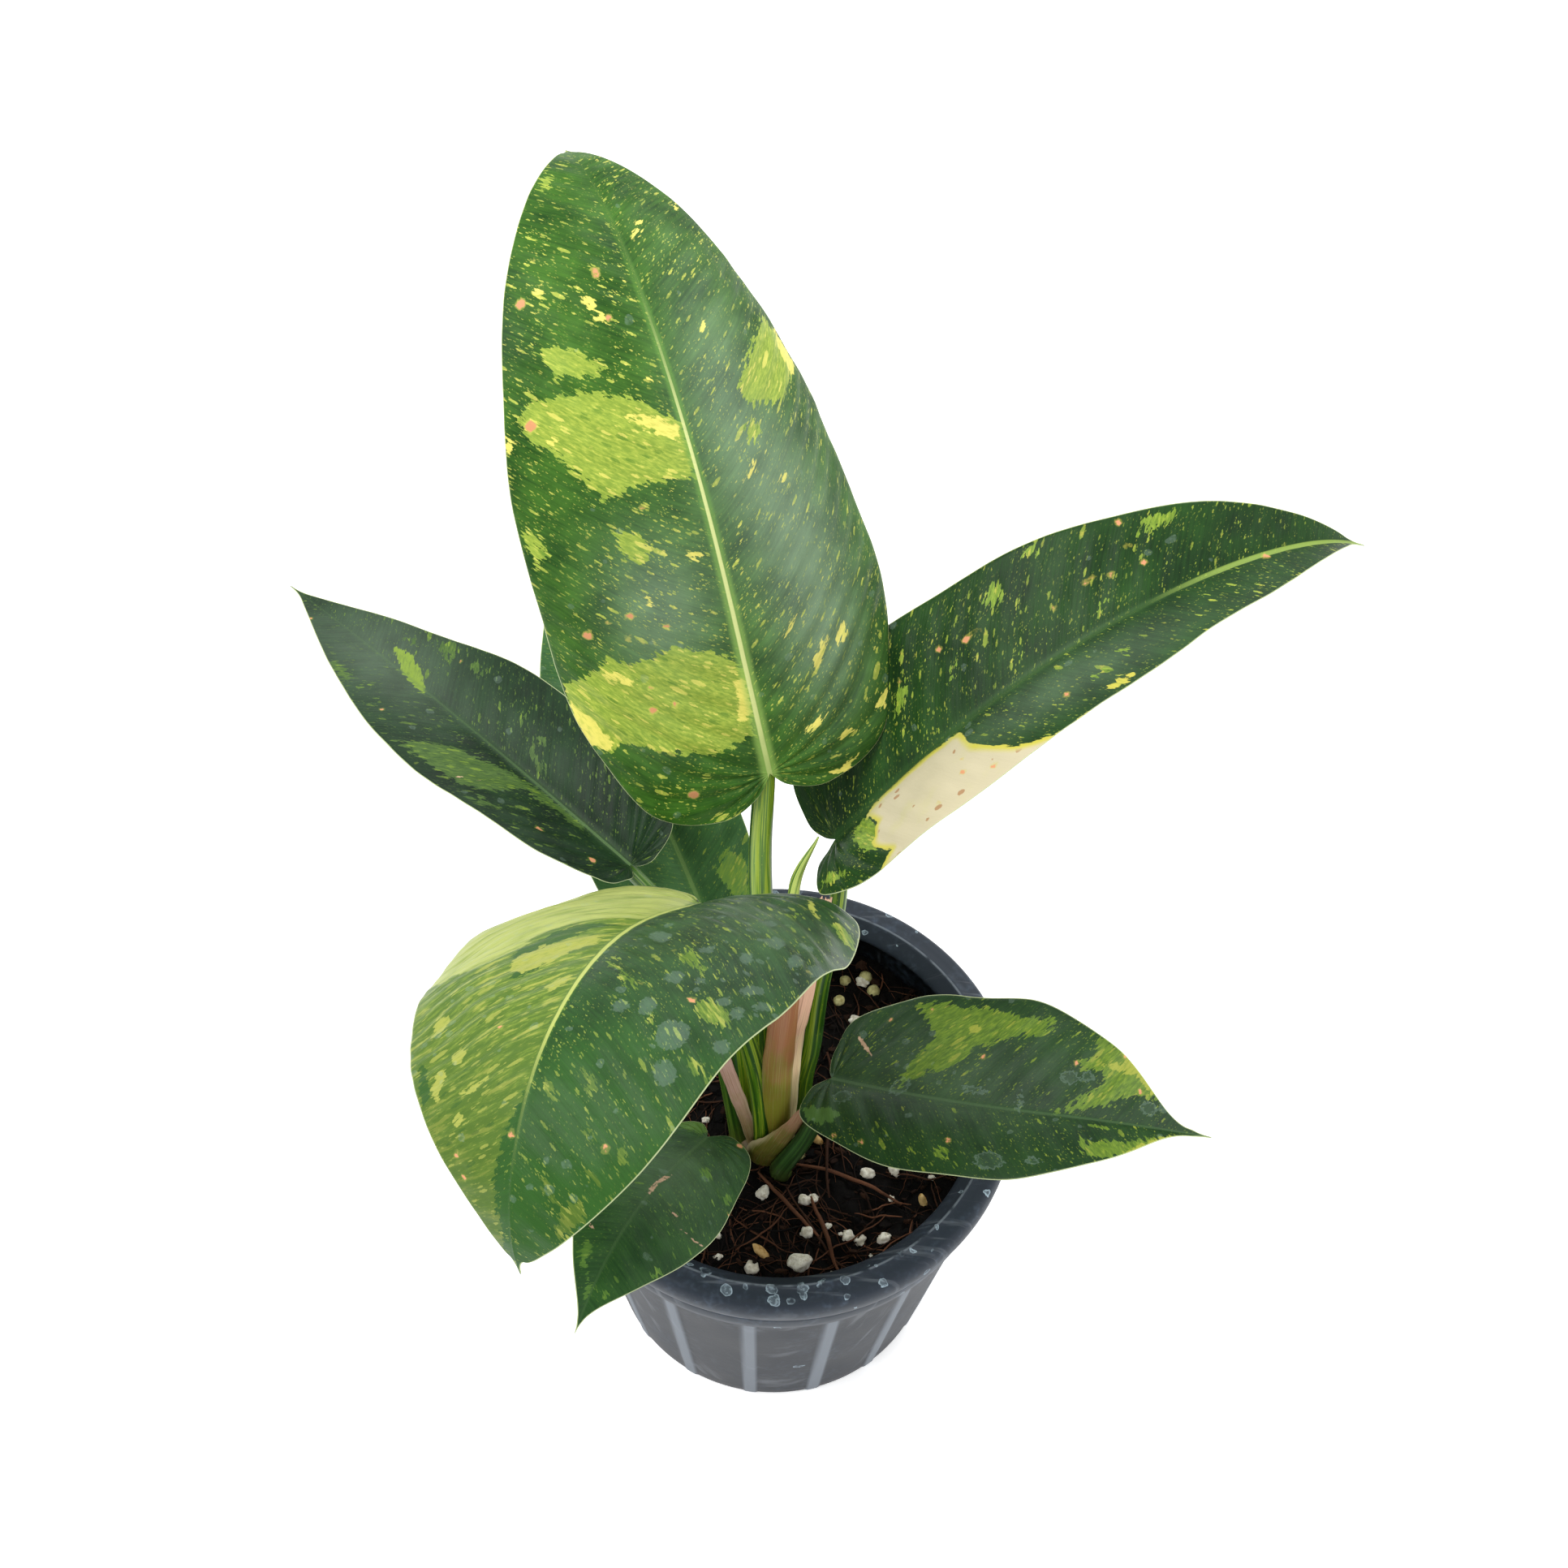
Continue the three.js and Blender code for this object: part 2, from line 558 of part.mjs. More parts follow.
place("pot", potOf(), 0x3c4450, 0.5);
place("potting_mix", cut(grains, [crownShape(GAP), ...rooms]), 0x2a1f1a, 0.95);
place("crown", cut(crownShape(), rooms), 0x5c7a35);
for (const leaf of leaves) place(leaf.name, leaf.body, leaf.colour);
place("new_leaf", spike, 0x3c7a34);
for (const part of sheaths) place(part.name, part.body, part.colour, 0.6);

export default plant;
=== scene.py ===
import math
import random

import bmesh
import bpy
import numpy as np
from mathutils import Matrix, Vector, noise


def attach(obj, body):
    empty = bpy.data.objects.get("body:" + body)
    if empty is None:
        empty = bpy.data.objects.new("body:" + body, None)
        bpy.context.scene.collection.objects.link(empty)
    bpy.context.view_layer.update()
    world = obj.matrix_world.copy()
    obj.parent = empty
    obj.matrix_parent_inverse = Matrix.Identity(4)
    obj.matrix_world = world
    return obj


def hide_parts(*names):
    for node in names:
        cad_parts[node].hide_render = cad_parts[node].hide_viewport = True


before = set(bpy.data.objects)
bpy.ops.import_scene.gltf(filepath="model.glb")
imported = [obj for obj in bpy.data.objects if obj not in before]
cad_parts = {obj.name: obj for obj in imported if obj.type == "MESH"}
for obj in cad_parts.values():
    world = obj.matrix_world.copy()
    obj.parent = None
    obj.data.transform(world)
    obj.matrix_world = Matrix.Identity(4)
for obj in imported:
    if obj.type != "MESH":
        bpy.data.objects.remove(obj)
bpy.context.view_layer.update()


# Pot: one injection moulded nursery pot of dark slate plastic, with a rolled lip, a short skirt under it,
# matte stripes down its wall and drain holes in its base. Hard water has dried on the lip in pale rings.
BODY_TOP = 100.5
BODY_TOP_RADIUS = 73.2
POT_BASE_RADIUS = 57.2
POT_FLOOR = 2.4
POT_SIDES = 320
STRIPES = 16
STRIPE_WIDTH = 4.4
STRIPE_RAISE = 0.4
FIRST_STRIPE = math.radians(-96)
DRAIN_HOLES = 8
DRAIN_RADIUS = 5
DRAIN_CIRCLE = 40
DRAIN_SIDES = 28
# Radius of the painted highlight line on the crest of the lip
LIP_HIGHLIGHT_RADIUS = 72.1
WATER_MARK_HEIGHT = 127.3
CLOUD_SHIFT = 0.0017

# The wall's section as radius and height: up the outside, over the lip and down the inside
POT_SECTION = [
    (38, 0), (48, 0), (54.6, 0), (56.1, 0.3), (56.9, 0.9), (57.3, 1.9), (58.1, 7), (60.1, 19), (63.1, 38),
    (66.1, 57), (69.2, 76), (71.6, 91), (72.8, 98.4), (73.1, 100.1), (73.7, 101.1), (75.0, 101.9),
    (75.7, 102.7), (76.3, 106), (76.8, 110), (76.7, 111), (76.35, 111.7), (76.6, 112.4), (77.9, 114),
    (79.0, 116.4), (79.8, 119.2), (80.15, 122.0), (80.0, 124.2), (79.4, 126), (78.6, 127.1), (77.6, 127.65),
    (75.4, 127.9), (73.3, 128.05), (72.7, 128.45), (72.1, 128.68), (71.5, 128.45), (71.0, 128.0),
    (69.6, 126.8), (68.2, 125.6), (67.3, 124.6), (66.9, 123.7), (67.2, 122.8), (68.4, 122.1), (70.2, 121.5),
    (70.9, 120.8), (71.1, 119), (71.3, 110), (71.4, 101), (69, 86), (66, 67.5), (62.7, 47.5), (59, 25),
    (56.3, 8.5), (55.5, 4), (54.6, 2.7), (52, POT_FLOOR), (30, POT_FLOOR),
]
STRIPE_START = 2
STRIPE_END = 12
STRIPE_SOFTNESS = 0.5

# What counts as the inside of the wall, painted near black as painted shade: this far in from the outside,
# and between these heights
INSIDE_DEPTH = 0.8
INSIDE_HEIGHTS = (2, 121)

# The largest dried drops on top of the lip, in front: x, y and radius
WATER_MARKS = [
    (-22, -67.7, 2.2), (-27, -65.6, 1.2), (-14.7, -73.7, 2), (-8.7, -71.8, 1.5), (0, -72.6, 2),
    (0.8, -76.3, 2.2), (6.5, -76.6, 1.3), (10.3, -72.2, 2.1), (10.4, -74.6, 1.8), (16.8, -69.6, 1.2),
    (24, -68.8, 1.8), (24.8, -74.4, 1.2), (25.7, -77, 0.7), (30.7, -63.9, 1), (31.5, -65.6, 1),
    (41.8, -58.6, 1.5), (45.8, -57.3, 1.2), (52, -56.7, 1),
]


def make_piece(name, points, faces, materials, face_material=None, smooth=True):
    """One mesh of the object, from points in millimetres."""
    mesh = bpy.data.meshes.new(name)
    mesh.from_pydata((np.asarray(points, float) / 1000).tolist(), [], faces)
    for material in materials:
        mesh.materials.append(material)
    if face_material is not None:
        mesh.polygons.foreach_set("material_index", face_material)
    mesh.polygons.foreach_set("use_smooth", [smooth] * len(mesh.polygons))
    mesh.update()
    piece = bpy.data.objects.new(name, mesh)
    bpy.context.scene.collection.objects.link(piece)
    return piece


def give_values(piece, **values):
    """Writes one number a point, which the piece's material reads by name."""
    for name, numbers in values.items():
        layer = piece.data.attributes.new(name, "FLOAT", "POINT")
        layer.data.foreach_set("value", np.asarray(numbers, np.float32))


def stand_for(piece, node):
    """Fixes the piece to the frame in place of a CAD node."""
    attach(piece, "root")
    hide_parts(node)


def ring_faces(rings, sides):
    """Faces round a stack of rings. A middle point for its start and one for its end come after the rings."""
    faces = []
    last = (rings - 1) * sides
    for k in range(sides):
        n = (k + 1) % sides
        faces += [(a + k, a + n, a + sides + n, a + sides + k) for a in range(0, last, sides)]
        faces.append((rings * sides, n, k))
        faces.append((rings * sides + 1, last + k, last + n))
    return faces


def turns(sides):
    """Angles all the way round, evenly spaced."""
    return np.arange(sides) * 2 * math.pi / sides


def ring_at(radius, angles, height, middle=(0, 0)):
    """Level points round a middle."""
    x = middle[0] + radius * np.cos(angles)
    y = middle[1] + radius * np.sin(angles)
    return np.stack([x, y, np.full(len(angles), float(height))], -1)


def paint(red, green, blue):
    """A colour as a photo shows it, 0 to 255, turned into the shader's own scale."""
    shares = [c / 255 for c in (red, green, blue)]
    return tuple(s / 12.92 if s <= 0.04045 else ((s + 0.055) / 1.055) ** 2.4 for s in shares) + (1.0,)


class ShaderTree:
    """Lays shader nodes in one tree, a material's or a group's. Most methods give back the new output."""

    def __init__(self, base):
        self.base = base

    def join(self, value, socket):
        """Links an output to an input, or sets the input itself to a number or colour."""
        if isinstance(value, bpy.types.NodeSocket):
            self.base.links.new(value, socket)
        else:
            socket.default_value = value

    def put(self, kind, *values, **settings):
        """Adds a node. values are (input, number, colour or output) pairs. Gives back all its outputs."""
        node = self.base.nodes.new("ShaderNode" + kind)
        for name, value in settings.items():
            setattr(node, name, value)
        for key, value in values:
            self.join(value, node.inputs[key])
        return node.outputs

    def maths(self, operation, *values):
        """One step of arithmetic on numbers or outputs."""
        return self.put("Math", *enumerate(values), operation=operation)[0]

    def times(self, first, *others):
        for other in others:
            first = self.maths("MULTIPLY", first, other)
        return first

    def plus(self, first, second):
        return self.maths("ADD", first, second)

    def minus(self, first, second):
        return self.maths("SUBTRACT", first, second)

    def scaled(self, value, by, start):
        """The value times by, plus start."""
        return self.maths("MULTIPLY_ADD", value, by, start)

    def step(self, value, start, end):
        """A soft step from 0 where the value is start to 1 where it is end."""
        values = ("Value", value), ("From Min", start), ("From Max", end)
        return self.put("MapRange", *values, interpolation_type="SMOOTHSTEP")[0]

    def blend(self, share, first, second):
        """Lays the second colour over the first by a share, held between 0 and 1."""
        return self.put("Mix", (0, share), (6, first), (7, second), data_type="RGBA")[2]

    def lay(self, colour, mask, strength, over):
        """Lays another colour over one where a mask is, at a strength."""
        return self.blend(self.times(mask, strength), colour, over)

    def read(self, name):
        """The piece's own number of that name."""
        return self.put("Attribute", attribute_name=name)["Fac"]

    def place(self):
        """Where a point is on its piece, in metres."""
        return self.put("TexCoord")["Object"]

    def chart(self, name):
        """Where a point is on one of the piece's flat maps, in centimetres."""
        return self.put("UVMap", uv_map=name)[0]

    def noise(self, vector, scale, detail=2.0, rough=0.5, output="Fac"):
        """Soft clouds about a middle value of 0.5."""
        values = ("Vector", vector), ("Scale", scale), ("Detail", detail), ("Roughness", rough)
        return self.put("TexNoise", *values)[output]

    def strands(self, vector, factors, detail, rough=0.5):
        """Clouds drawn out into strands by stretching the vector."""
        drawn = self.put("VectorMath", (0, vector), (1, factors), operation="MULTIPLY")[0]
        return self.noise(drawn, 1.0, detail, rough)

    def bend(self, vector, scale, push, detail=2.0, onto=None):
        """Shifts a vector about by clouds, as far as push says on each axis."""
        clouds = self.noise(vector, scale, detail, output="Color")
        start = vector if onto is None else onto
        return self.put("VectorMath", (0, clouds), (1, push), (2, start), operation="MULTIPLY_ADD")[0]

    def use(self, group, **values):
        """Places a node group and gives back its mask."""
        return self.put("Group", *values.items(), node_tree=group)["Mask"]

    def finish(self, colour, rough, relief, strength, depth, shine=0.5):
        """Feeds the material's shader: colour, roughness and a fine relief whose depth is in metres."""
        inputs = self.base.nodes["Principled BSDF"].inputs
        bump = self.put("Bump", ("Strength", strength), ("Distance", depth), ("Height", relief))[0]
        self.join(colour, inputs["Base Color"])
        self.join(rough, inputs["Roughness"])
        self.join(bump, inputs["Normal"])
        inputs["Specular IOR Level"].default_value = shine


def new_material(name):
    """A material with just its Principled shader, and the tree that it stands in."""
    material = bpy.data.materials.new(name)
    material.use_nodes = True
    return material, ShaderTree(material.node_tree)


def lathe_pot():
    """The pot's wall, turned from its section, with the stripes raised from the wall."""
    angles = turns(POT_SIDES)
    gap = 2 * math.pi / STRIPES
    off_stripe = np.abs((angles - FIRST_STRIPE + gap / 2) % gap - gap / 2)
    points, stripe = [], []
    for step, (radius, height) in enumerate(POT_SECTION):
        half = STRIPE_WIDTH / 2 / radius
        share = np.clip((half - off_stripe) * radius / STRIPE_SOFTNESS + 0.5, 0, 1)
        share *= STRIPE_START <= step <= STRIPE_END
        raised = STRIPE_RAISE * share * (step > STRIPE_START)
        points.append(ring_at(radius + raised, angles, height))
        stripe.append(share)
    middles = [(0, 0, 0), (0, 0, POT_FLOOR)]
    faces = ring_faces(len(POT_SECTION), POT_SIDES)
    return np.concatenate([*points, middles]), faces, np.concatenate([*stripe, (0, 0)])


def drill_drains(piece):
    """Cuts the drain holes through the base."""
    cutters = []
    for hole, turn in enumerate(turns(DRAIN_HOLES)):
        middle = (DRAIN_CIRCLE * math.cos(turn), DRAIN_CIRCLE * math.sin(turn))
        ends = [ring_at(DRAIN_RADIUS, turns(DRAIN_SIDES), z, middle) for z in (-POT_FLOOR, 2 * POT_FLOOR)]
        points = np.concatenate([*ends, *(ring.mean(0, keepdims=True) for ring in ends)])
        cutter = make_piece(f"drain_cutter_{hole}", points, ring_faces(2, DRAIN_SIDES), [])
        cutters.append(cutter)
        cut = piece.modifiers.new(cutter.name, "BOOLEAN")
        cut.object = cutter
        cut.operation = "DIFFERENCE"
        cut.solver = "EXACT"
    shaped = piece.evaluated_get(bpy.context.evaluated_depsgraph_get())
    mesh = bpy.data.meshes.new_from_object(shaped)
    piece.modifiers.clear()
    piece.data = mesh
    for cutter in cutters:
        bpy.data.objects.remove(cutter)


def dried_water(tree, place, on_lip):
    """Dried water: filled spots with a brighter ring, thick along the lip and rare on the wall."""
    bent = tree.bend(place, 260.0, (0.0035, 0.0035, 0.0035), 3.0)
    drops = tree.put("TexVoronoi", ("Vector", bent), ("Scale", 150.0), ("Randomness", 1.0))
    luck = tree.put("SeparateColor", ("Color", drops["Color"]))
    small = tree.times(tree.minus(tree.scaled(luck[0], 0.3, 0.04), drops["Distance"]), 6.7)
    skipped = tree.maths("LESS_THAN", luck[1], tree.scaled(on_lip, -0.4, 0.97))
    dried = tree.minus(small, tree.times(skipped, 9.0))

    # The clouds in bent shift a place by CLOUD_SHIFT, in metres, on average
    for x, y, size in WATER_MARKS:
        middle = (x / 1000 + CLOUD_SHIFT, y / 1000 + CLOUD_SHIFT, WATER_MARK_HEIGHT / 1000 + CLOUD_SHIFT)
        away = tree.put("VectorMath", (0, bent), (1, middle), operation="DISTANCE")["Value"]
        dried = tree.maths("MAXIMUM", dried, tree.scaled(away, -1000.0, size))
    inner = tree.step(dried, 0.0, 0.12)
    ring = tree.times(inner, tree.step(dried, 0.55, 0.2))
    crusty = tree.times(inner, tree.step(tree.noise(place, 900.0, 3.0), 0.5, 0.62))
    return tree.scaled(ring, 0.42, tree.scaled(crusty, 0.3, tree.times(inner, 0.16)))


def make_pot_plastic():
    """Slate plastic with matte stripes, dust, dried water, scuffs, a painted highlight round the crest of the
    lip and painted shade on the inside of the wall.
    """
    material, tree = new_material("Nursery pot plastic")
    place = tree.place()
    stripe = tree.read("stripe")
    height = tree.read("height")
    flow = tree.noise(place, 35.0, 4.0)
    colour = tree.blend(flow, paint(17, 21, 28), paint(28, 34, 43))
    colour = tree.lay(colour, stripe, 0.82, paint(124, 130, 137))
    lip = tree.step(height, 100.8, 102.0)
    colour = tree.lay(colour, lip, 0.8, paint(46, 53, 62))
    # Painted shade: the inside of the wall is painted near black for the shade down in the pot
    colour = tree.blend(tree.read("inside"), colour, paint(11, 12, 14))
    dust = tree.step(tree.times(tree.noise(place, 42.0, 5.0), tree.noise(place, 378.0)), 0.22, 0.55)
    colour = tree.lay(colour, dust, tree.scaled(lip, 0.14, 0.12), paint(104, 122, 144))

    on_lip = tree.step(height, 112.0, 118.0)
    patchy = tree.noise(place, 210.0)
    spots = tree.times(dried_water(tree, place, on_lip), tree.step(patchy, 0.3, 0.6))
    colour = tree.blend(spots, colour, paint(176, 196, 208))

    # Painted highlight: a fine pale line round the top of the lip, on the crest of its inner rim, broken in
    # patches
    off_highlight = tree.maths("ABSOLUTE", tree.minus(tree.read("reach"), LIP_HIGHLIGHT_RADIUS))
    line = tree.times(tree.step(off_highlight, 0.55, 0.15), on_lip, tree.step(patchy, 0.3, 0.55))
    colour = tree.lay(colour, line, 0.6, paint(120, 128, 136))

    # Scuffs: thin pale arcs in the wall
    drawn_out = ("Rotation", (0.5, 0.2, 0.9)), ("Scale", (1.0, 14.0, 1.0))
    arcs = tree.put("Mapping", ("Vector", place), *drawn_out)[0]
    scuff = tree.step(tree.noise(arcs, 30.0, 6.0), 0.58, 0.72)
    colour = tree.lay(colour, scuff, 0.2, paint(140, 146, 154))

    rough = tree.scaled(spots, 0.2, tree.scaled(stripe, 0.2, tree.scaled(flow, 0.16, 0.4)))
    relief = tree.scaled(spots, 0.6, tree.times(tree.noise(place, 900.0), 0.35))
    tree.finish(colour, rough, relief, 0.35, 0.0002, shine=0.14)
    return material


pot_points, pot_faces, pot_stripe = lathe_pot()
pot = make_piece("nursery_pot", pot_points, pot_faces, [make_pot_plastic()])
give_values(pot, stripe=pot_stripe)
drill_drains(pot)
x, y, height = np.array([v.co for v in pot.data.vertices]).T * 1000
reach = np.hypot(x, y)
wall = POT_BASE_RADIUS + (BODY_TOP_RADIUS - POT_BASE_RADIUS) * np.clip(height / BODY_TOP, 0, 1)
painted_shade_inside = (reach < wall - INSIDE_DEPTH) & (height > INSIDE_HEIGHTS[0]) & (height < INSIDE_HEIGHTS[1])
give_values(pot, height=height, reach=reach, inside=painted_shade_inside)
stand_for(pot, "pot")


# Potting mix: peat and bark filled to just under the lip, with a loose top of crumbs, coir fibres, twigs,
# white pumice, rice husks and yellow fertiliser beads that lie in it.
SOIL_LEVEL = 105.5
SOIL_RADIUS = 70.4
SOIL_SPACING = 0.9
LOOSE_RADIUS = 69
CROWN_PLACE = (-3, -7)
CROWN_CLEARANCE = 11
CRUMBS = 620
FIBRES = 560
TWIGS = 12
STRAY_GRAINS = 44
FULL_TURN = 6.28
draw = random.Random(4)


def soil_height(x, y):
    """Height of the loose top at a place."""
    dome = 1.5 * (1 - (x * x + y * y) / 68**2)
    waves = 1.3 * math.sin(x / 7.3 + 1.1) * math.cos(y / 8.1) + 0.8 * math.sin(x / 3.9 - y / 4.7)
    clumps = 2.0 * noise.noise(Vector((x / 6, y / 6, 3))) + noise.noise(Vector((x / 2.4, y / 2.4, 7)))
    return SOIL_LEVEL + dome + waves + clumps


def lump(centre, size, rough, levels, squash):
    """A rough pebble: a ball of triangles pushed in and out, turned at random."""
    ball = bmesh.new()
    bmesh.ops.create_icosphere(ball, subdivisions=levels, radius=1)
    ball.verts.index_update()
    spots = [v.co.copy() for v in ball.verts]
    faces = [tuple(v.index for v in f.verts) for f in ball.faces]
    ball.free()
    shift = Vector([draw.uniform(-50, 50) for _ in range(3)])
    push = [1 + rough * (noise.noise(p * 1.3 + shift) + 0.3 * noise.noise(p * 3 + shift)) for p in spots]
    about_x, about_z = (Matrix.Rotation(draw.uniform(0, FULL_TURN), 3, axis) for axis in "XZ")
    turn = about_x @ about_z
    spots = np.array(spots) * np.array(push)[:, None] * np.array(squash)
    return np.array(centre) + size * spots @ np.array(turn).T, faces


def tube(path, radii, sides):
    """A closed round stem along a path: its points and faces, and how far round and along each point is."""
    path = np.asarray(path, float)
    radii = np.broadcast_to(np.asarray(radii, float), len(path))
    steps = np.gradient(path, axis=0)
    steps /= np.linalg.norm(steps, axis=1)[:, None]
    side = np.cross(steps[0], [0.31, 0.17, 0.93])
    rings = []
    angles = turns(sides)
    for centre, ahead, radius in zip(path, steps, radii):
        side = side - ahead * side.dot(ahead)
        side /= np.linalg.norm(side)
        up = np.cross(ahead, side)
        rings.append(centre + radius * (np.cos(angles)[:, None] * side + np.sin(angles)[:, None] * up))
    points = np.concatenate([*rings, path[:1], path[-1:]])
    lengths = np.concatenate([[0], np.cumsum(np.linalg.norm(np.diff(path, axis=0), axis=1))])
    around = np.concatenate([np.tile(angles, len(path)), [0, 0]])
    along = np.concatenate([np.repeat(lengths, sides), [0, lengths[-1]]])
    return points, ring_faces(len(path), sides), around, along


def bed_in(name, parts, material, smooth=True):
    """Joins loose parts of the mix into one piece. Each is points, faces and a shade from 0 to 1."""
    points, faces, shades, start = [], [], [], 0
    for spots, corners, shade in parts:
        points.append(spots)
        faces += [tuple(v + start for v in f) for f in corners]
        shades.append(np.full(len(spots), shade))
        start += len(spots)
    made = make_piece(name, np.concatenate(points), faces, [material], smooth=smooth)
    give_values(made, shade=np.concatenate(shades))
    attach(made, "root")
    return made


def make_peat():
    """The peat bed: a grid of the loose top that ends at the pot's wall."""
    ticks = np.linspace(-SOIL_RADIUS, SOIL_RADIUS, int(2 * SOIL_RADIUS / SOIL_SPACING))
    places, points, faces = {}, [], []
    for i, x in enumerate(ticks):
        for j, y in enumerate(ticks):
            if math.hypot(x, y) < SOIL_RADIUS + 0.6:
                places[i, j] = len(points)
                points.append((x, y, soil_height(x, y)))
    for i, j in places:
        corners = [places.get(k) for k in ((i, j), (i + 1, j), (i + 1, j + 1), (i, j + 1))]
        if None not in corners:
            faces.append(tuple(corners))
    return points, faces


def make_soil_material(name, dark, light, rough, grain):
    """Damp, crumbly stuff: each part has its own shade between dark and light."""
    material, tree = new_material(name)
    cloud = tree.noise(tree.place(), grain, 8.0, 0.65)
    tone = tree.times(tree.read("shade"), cloud, 2.0)
    colour = tree.blend(tone, dark, light)
    tree.finish(colour, tree.scaled(cloud, 0.25, rough), cloud, 0.8, 0.0006, shine=0.12)
    return material


def scatter_spot(reach=LOOSE_RADIUS):
    """A place on the mix, clear of the crown."""
    while True:
        x, y = draw.uniform(-reach, reach), draw.uniform(-reach, reach)
        away = math.hypot(x - CROWN_PLACE[0], y - CROWN_PLACE[1])
        if math.hypot(x, y) < reach and away > CROWN_CLEARANCE:
            return x, y


def make_crumb():
    """One crumb of bark, lying flat."""
    x, y = scatter_spot()
    size = draw.uniform(0.7, 2.3)
    squash = (1, draw.uniform(0.3, 0.9), draw.uniform(0.2, 0.5))
    return (*lump((x, y, soil_height(x, y) + 0.1 * size), size, 0.7, 2, squash), draw.random() ** 2.5)


peat = make_soil_material("Damp peat", paint(3, 3, 3), paint(24, 17, 13), 0.75, 420.0)
bed = bed_in("potting_mix_bed", [(*make_peat(), 0.2)], peat)
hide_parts("potting_mix")
bark = make_soil_material("Bark crumbs", paint(5, 4, 4), paint(52, 33, 23), 0.7, 300.0)
bed_in("bark_crumbs", [make_crumb() for _ in range(CRUMBS)], bark, smooth=False)


def lay_fibre(x, y, heading, length, radius, lift, bend, steps=12, sides=6):
    """A fibre that lies over the mix, bending as it goes. It stops at the pot's wall."""
    path = []
    for _ in range(steps):
        height = soil_height(x, y) + radius + lift * (0.4 + 0.6 * draw.random())
        if math.hypot(x, y) > LOOSE_RADIUS:
            break
        path.append((x, y, height))
        heading += bend * draw.uniform(-1, 1)
        x += length / steps * math.cos(heading)
        y += length / steps * math.sin(heading)
    if len(path) < 4:
        return None
    path = np.array(path)
    path[:, 2] = np.convolve(np.pad(path[:, 2], 1, "edge"), np.ones(3) / 3, "valid")
    taper = radius * (0.35 + 0.65 * np.sin(np.linspace(0.35, math.pi - 0.25, len(path))))
    return tube(path, taper, sides)[:2]


fibre_parts = []
while len(fibre_parts) < FIBRES:
    x, y = scatter_spot()
    radius = draw.choice([0.12, 0.16, 0.22, 0.34])
    heading, length, lift = draw.uniform(0, FULL_TURN), draw.uniform(8, 40), draw.uniform(0.2, 1.6)
    made = lay_fibre(x, y, heading, length, radius, lift, 0.35)
    if made:
        fibre_parts.append((*made, draw.random() ** 2.3))
while len(fibre_parts) < FIBRES + TWIGS:
    x, y = scatter_spot()
    heading, length, radius = draw.uniform(0, FULL_TURN), draw.uniform(26, 60), draw.uniform(0.45, 0.85)
    made = lay_fibre(x, y, heading, length, radius, 1.2, 0.16, 16, 9)
    if made:
        fibre_parts.append((*made, 0.1 + 0.5 * draw.random()))

# The three twigs that show best in front: where each starts, its heading in degrees, length and radius
FRONT_TWIGS = [(12, -30, -68, 30, 0.8), (-6, -21, -58, 34, 0.75), (6, -18, -4, 42, 0.7)]
for x, y, heading, length, radius in FRONT_TWIGS:
    made = lay_fibre(x, y, math.radians(heading), length, radius, 1.6, 0.12, 16, 9)
    fibre_parts.append((*made, 0.75))
coir = make_soil_material("Coir fibre", paint(9, 6, 5), paint(108, 70, 50), 0.6, 160.0)
bed_in("coir_fibres", fibre_parts, coir)


def pale_grit(name, dark, light, pits):
    """Pumice, husk or bead: pale and dull, with small pits."""
    material, tree = new_material(name)
    pitted = tree.noise(tree.place(), pits, 6.0, 0.7)
    tone = tree.blend(tree.step(pitted, 0.36, 0.6), paint(*dark), paint(*light))
    colour = tree.lay(tone, tree.read("shade"), 0.35, paint(*dark))
    tree.finish(colour, tree.scaled(pitted, -0.2, 0.9), pitted, 0.7, 0.0005)
    return material


def place_grains(name, grains, material, rough, squash):
    """Beds grains in the top of the mix. grains holds each one's x, y and size."""
    parts = []
    for x, y, size in grains:
        made = lump((x, y, soil_height(x, y) + 0.45 * size), size, rough, 3, squash)
        parts.append((*made, draw.random()))
    bed_in(name, parts, material)


PUMICE = [
    (-4, -29, 2.6), (11, -43, 2.6), (9, -55, 3.9), (25, -43, 2.5), (29, -44, 2.2), (37, -44, 2.6),
    (-7, -56, 2.7), (10, -31, 2.4), (13, -30, 2.0), (31, -21, 2.4), (26, 39, 2.4), (28, 54, 2.2),
    (40, -19, 2.2), (58, -2, 2.2), (38, -54, 2.2), (-18, -52, 1.6), (20, -57, 1.8),
]
BEADS = [(29, 56, 2.3), (32, 51, 2.2), (20, 46, 2.0), (8, -14, 1.9), (22, 55, 2.0), (-40, -20, 2.1)]
HUSKS = [(-4, -51, 3.8), (13, -8, 3.4), (-30, 30, 3.3), (40, 20, 3.5), (50, -30, 3.2)]
stray = [(*scatter_spot(66), draw.uniform(0.5, 1.5)) for _ in range(STRAY_GRAINS)]
pumice = pale_grit("Pumice", (196, 186, 166), (238, 233, 220), 700.0)
place_grains("pumice_grains", PUMICE + stray, pumice, 0.46, (1, 0.8, 0.72))
beads = pale_grit("Fertiliser beads", (150, 138, 84), (216, 208, 150), 300.0)
place_grains("fertiliser_beads", BEADS, beads, 0.12, (1, 1, 0.95))
husks = pale_grit("Rice husk", (156, 112, 52), (224, 190, 128), 500.0)
place_grains("rice_husks", HUSKS, husks, 0.15, (1, 0.42, 0.32))


# Crown: the short, knobbly stem that every petiole grows from. It is one growth, turned here from a section,
# green where it is new and corky where old leaves fell.
CROWN_SIDES = 48
CROWN_RINGS = 40
CROWN_SECTION = [
    (0, 74), (6, 75), (10, 82), (13, 94), (13.6, 101), (12.4, 105.5), (9, 108), (4, 109), (0, 109),
]


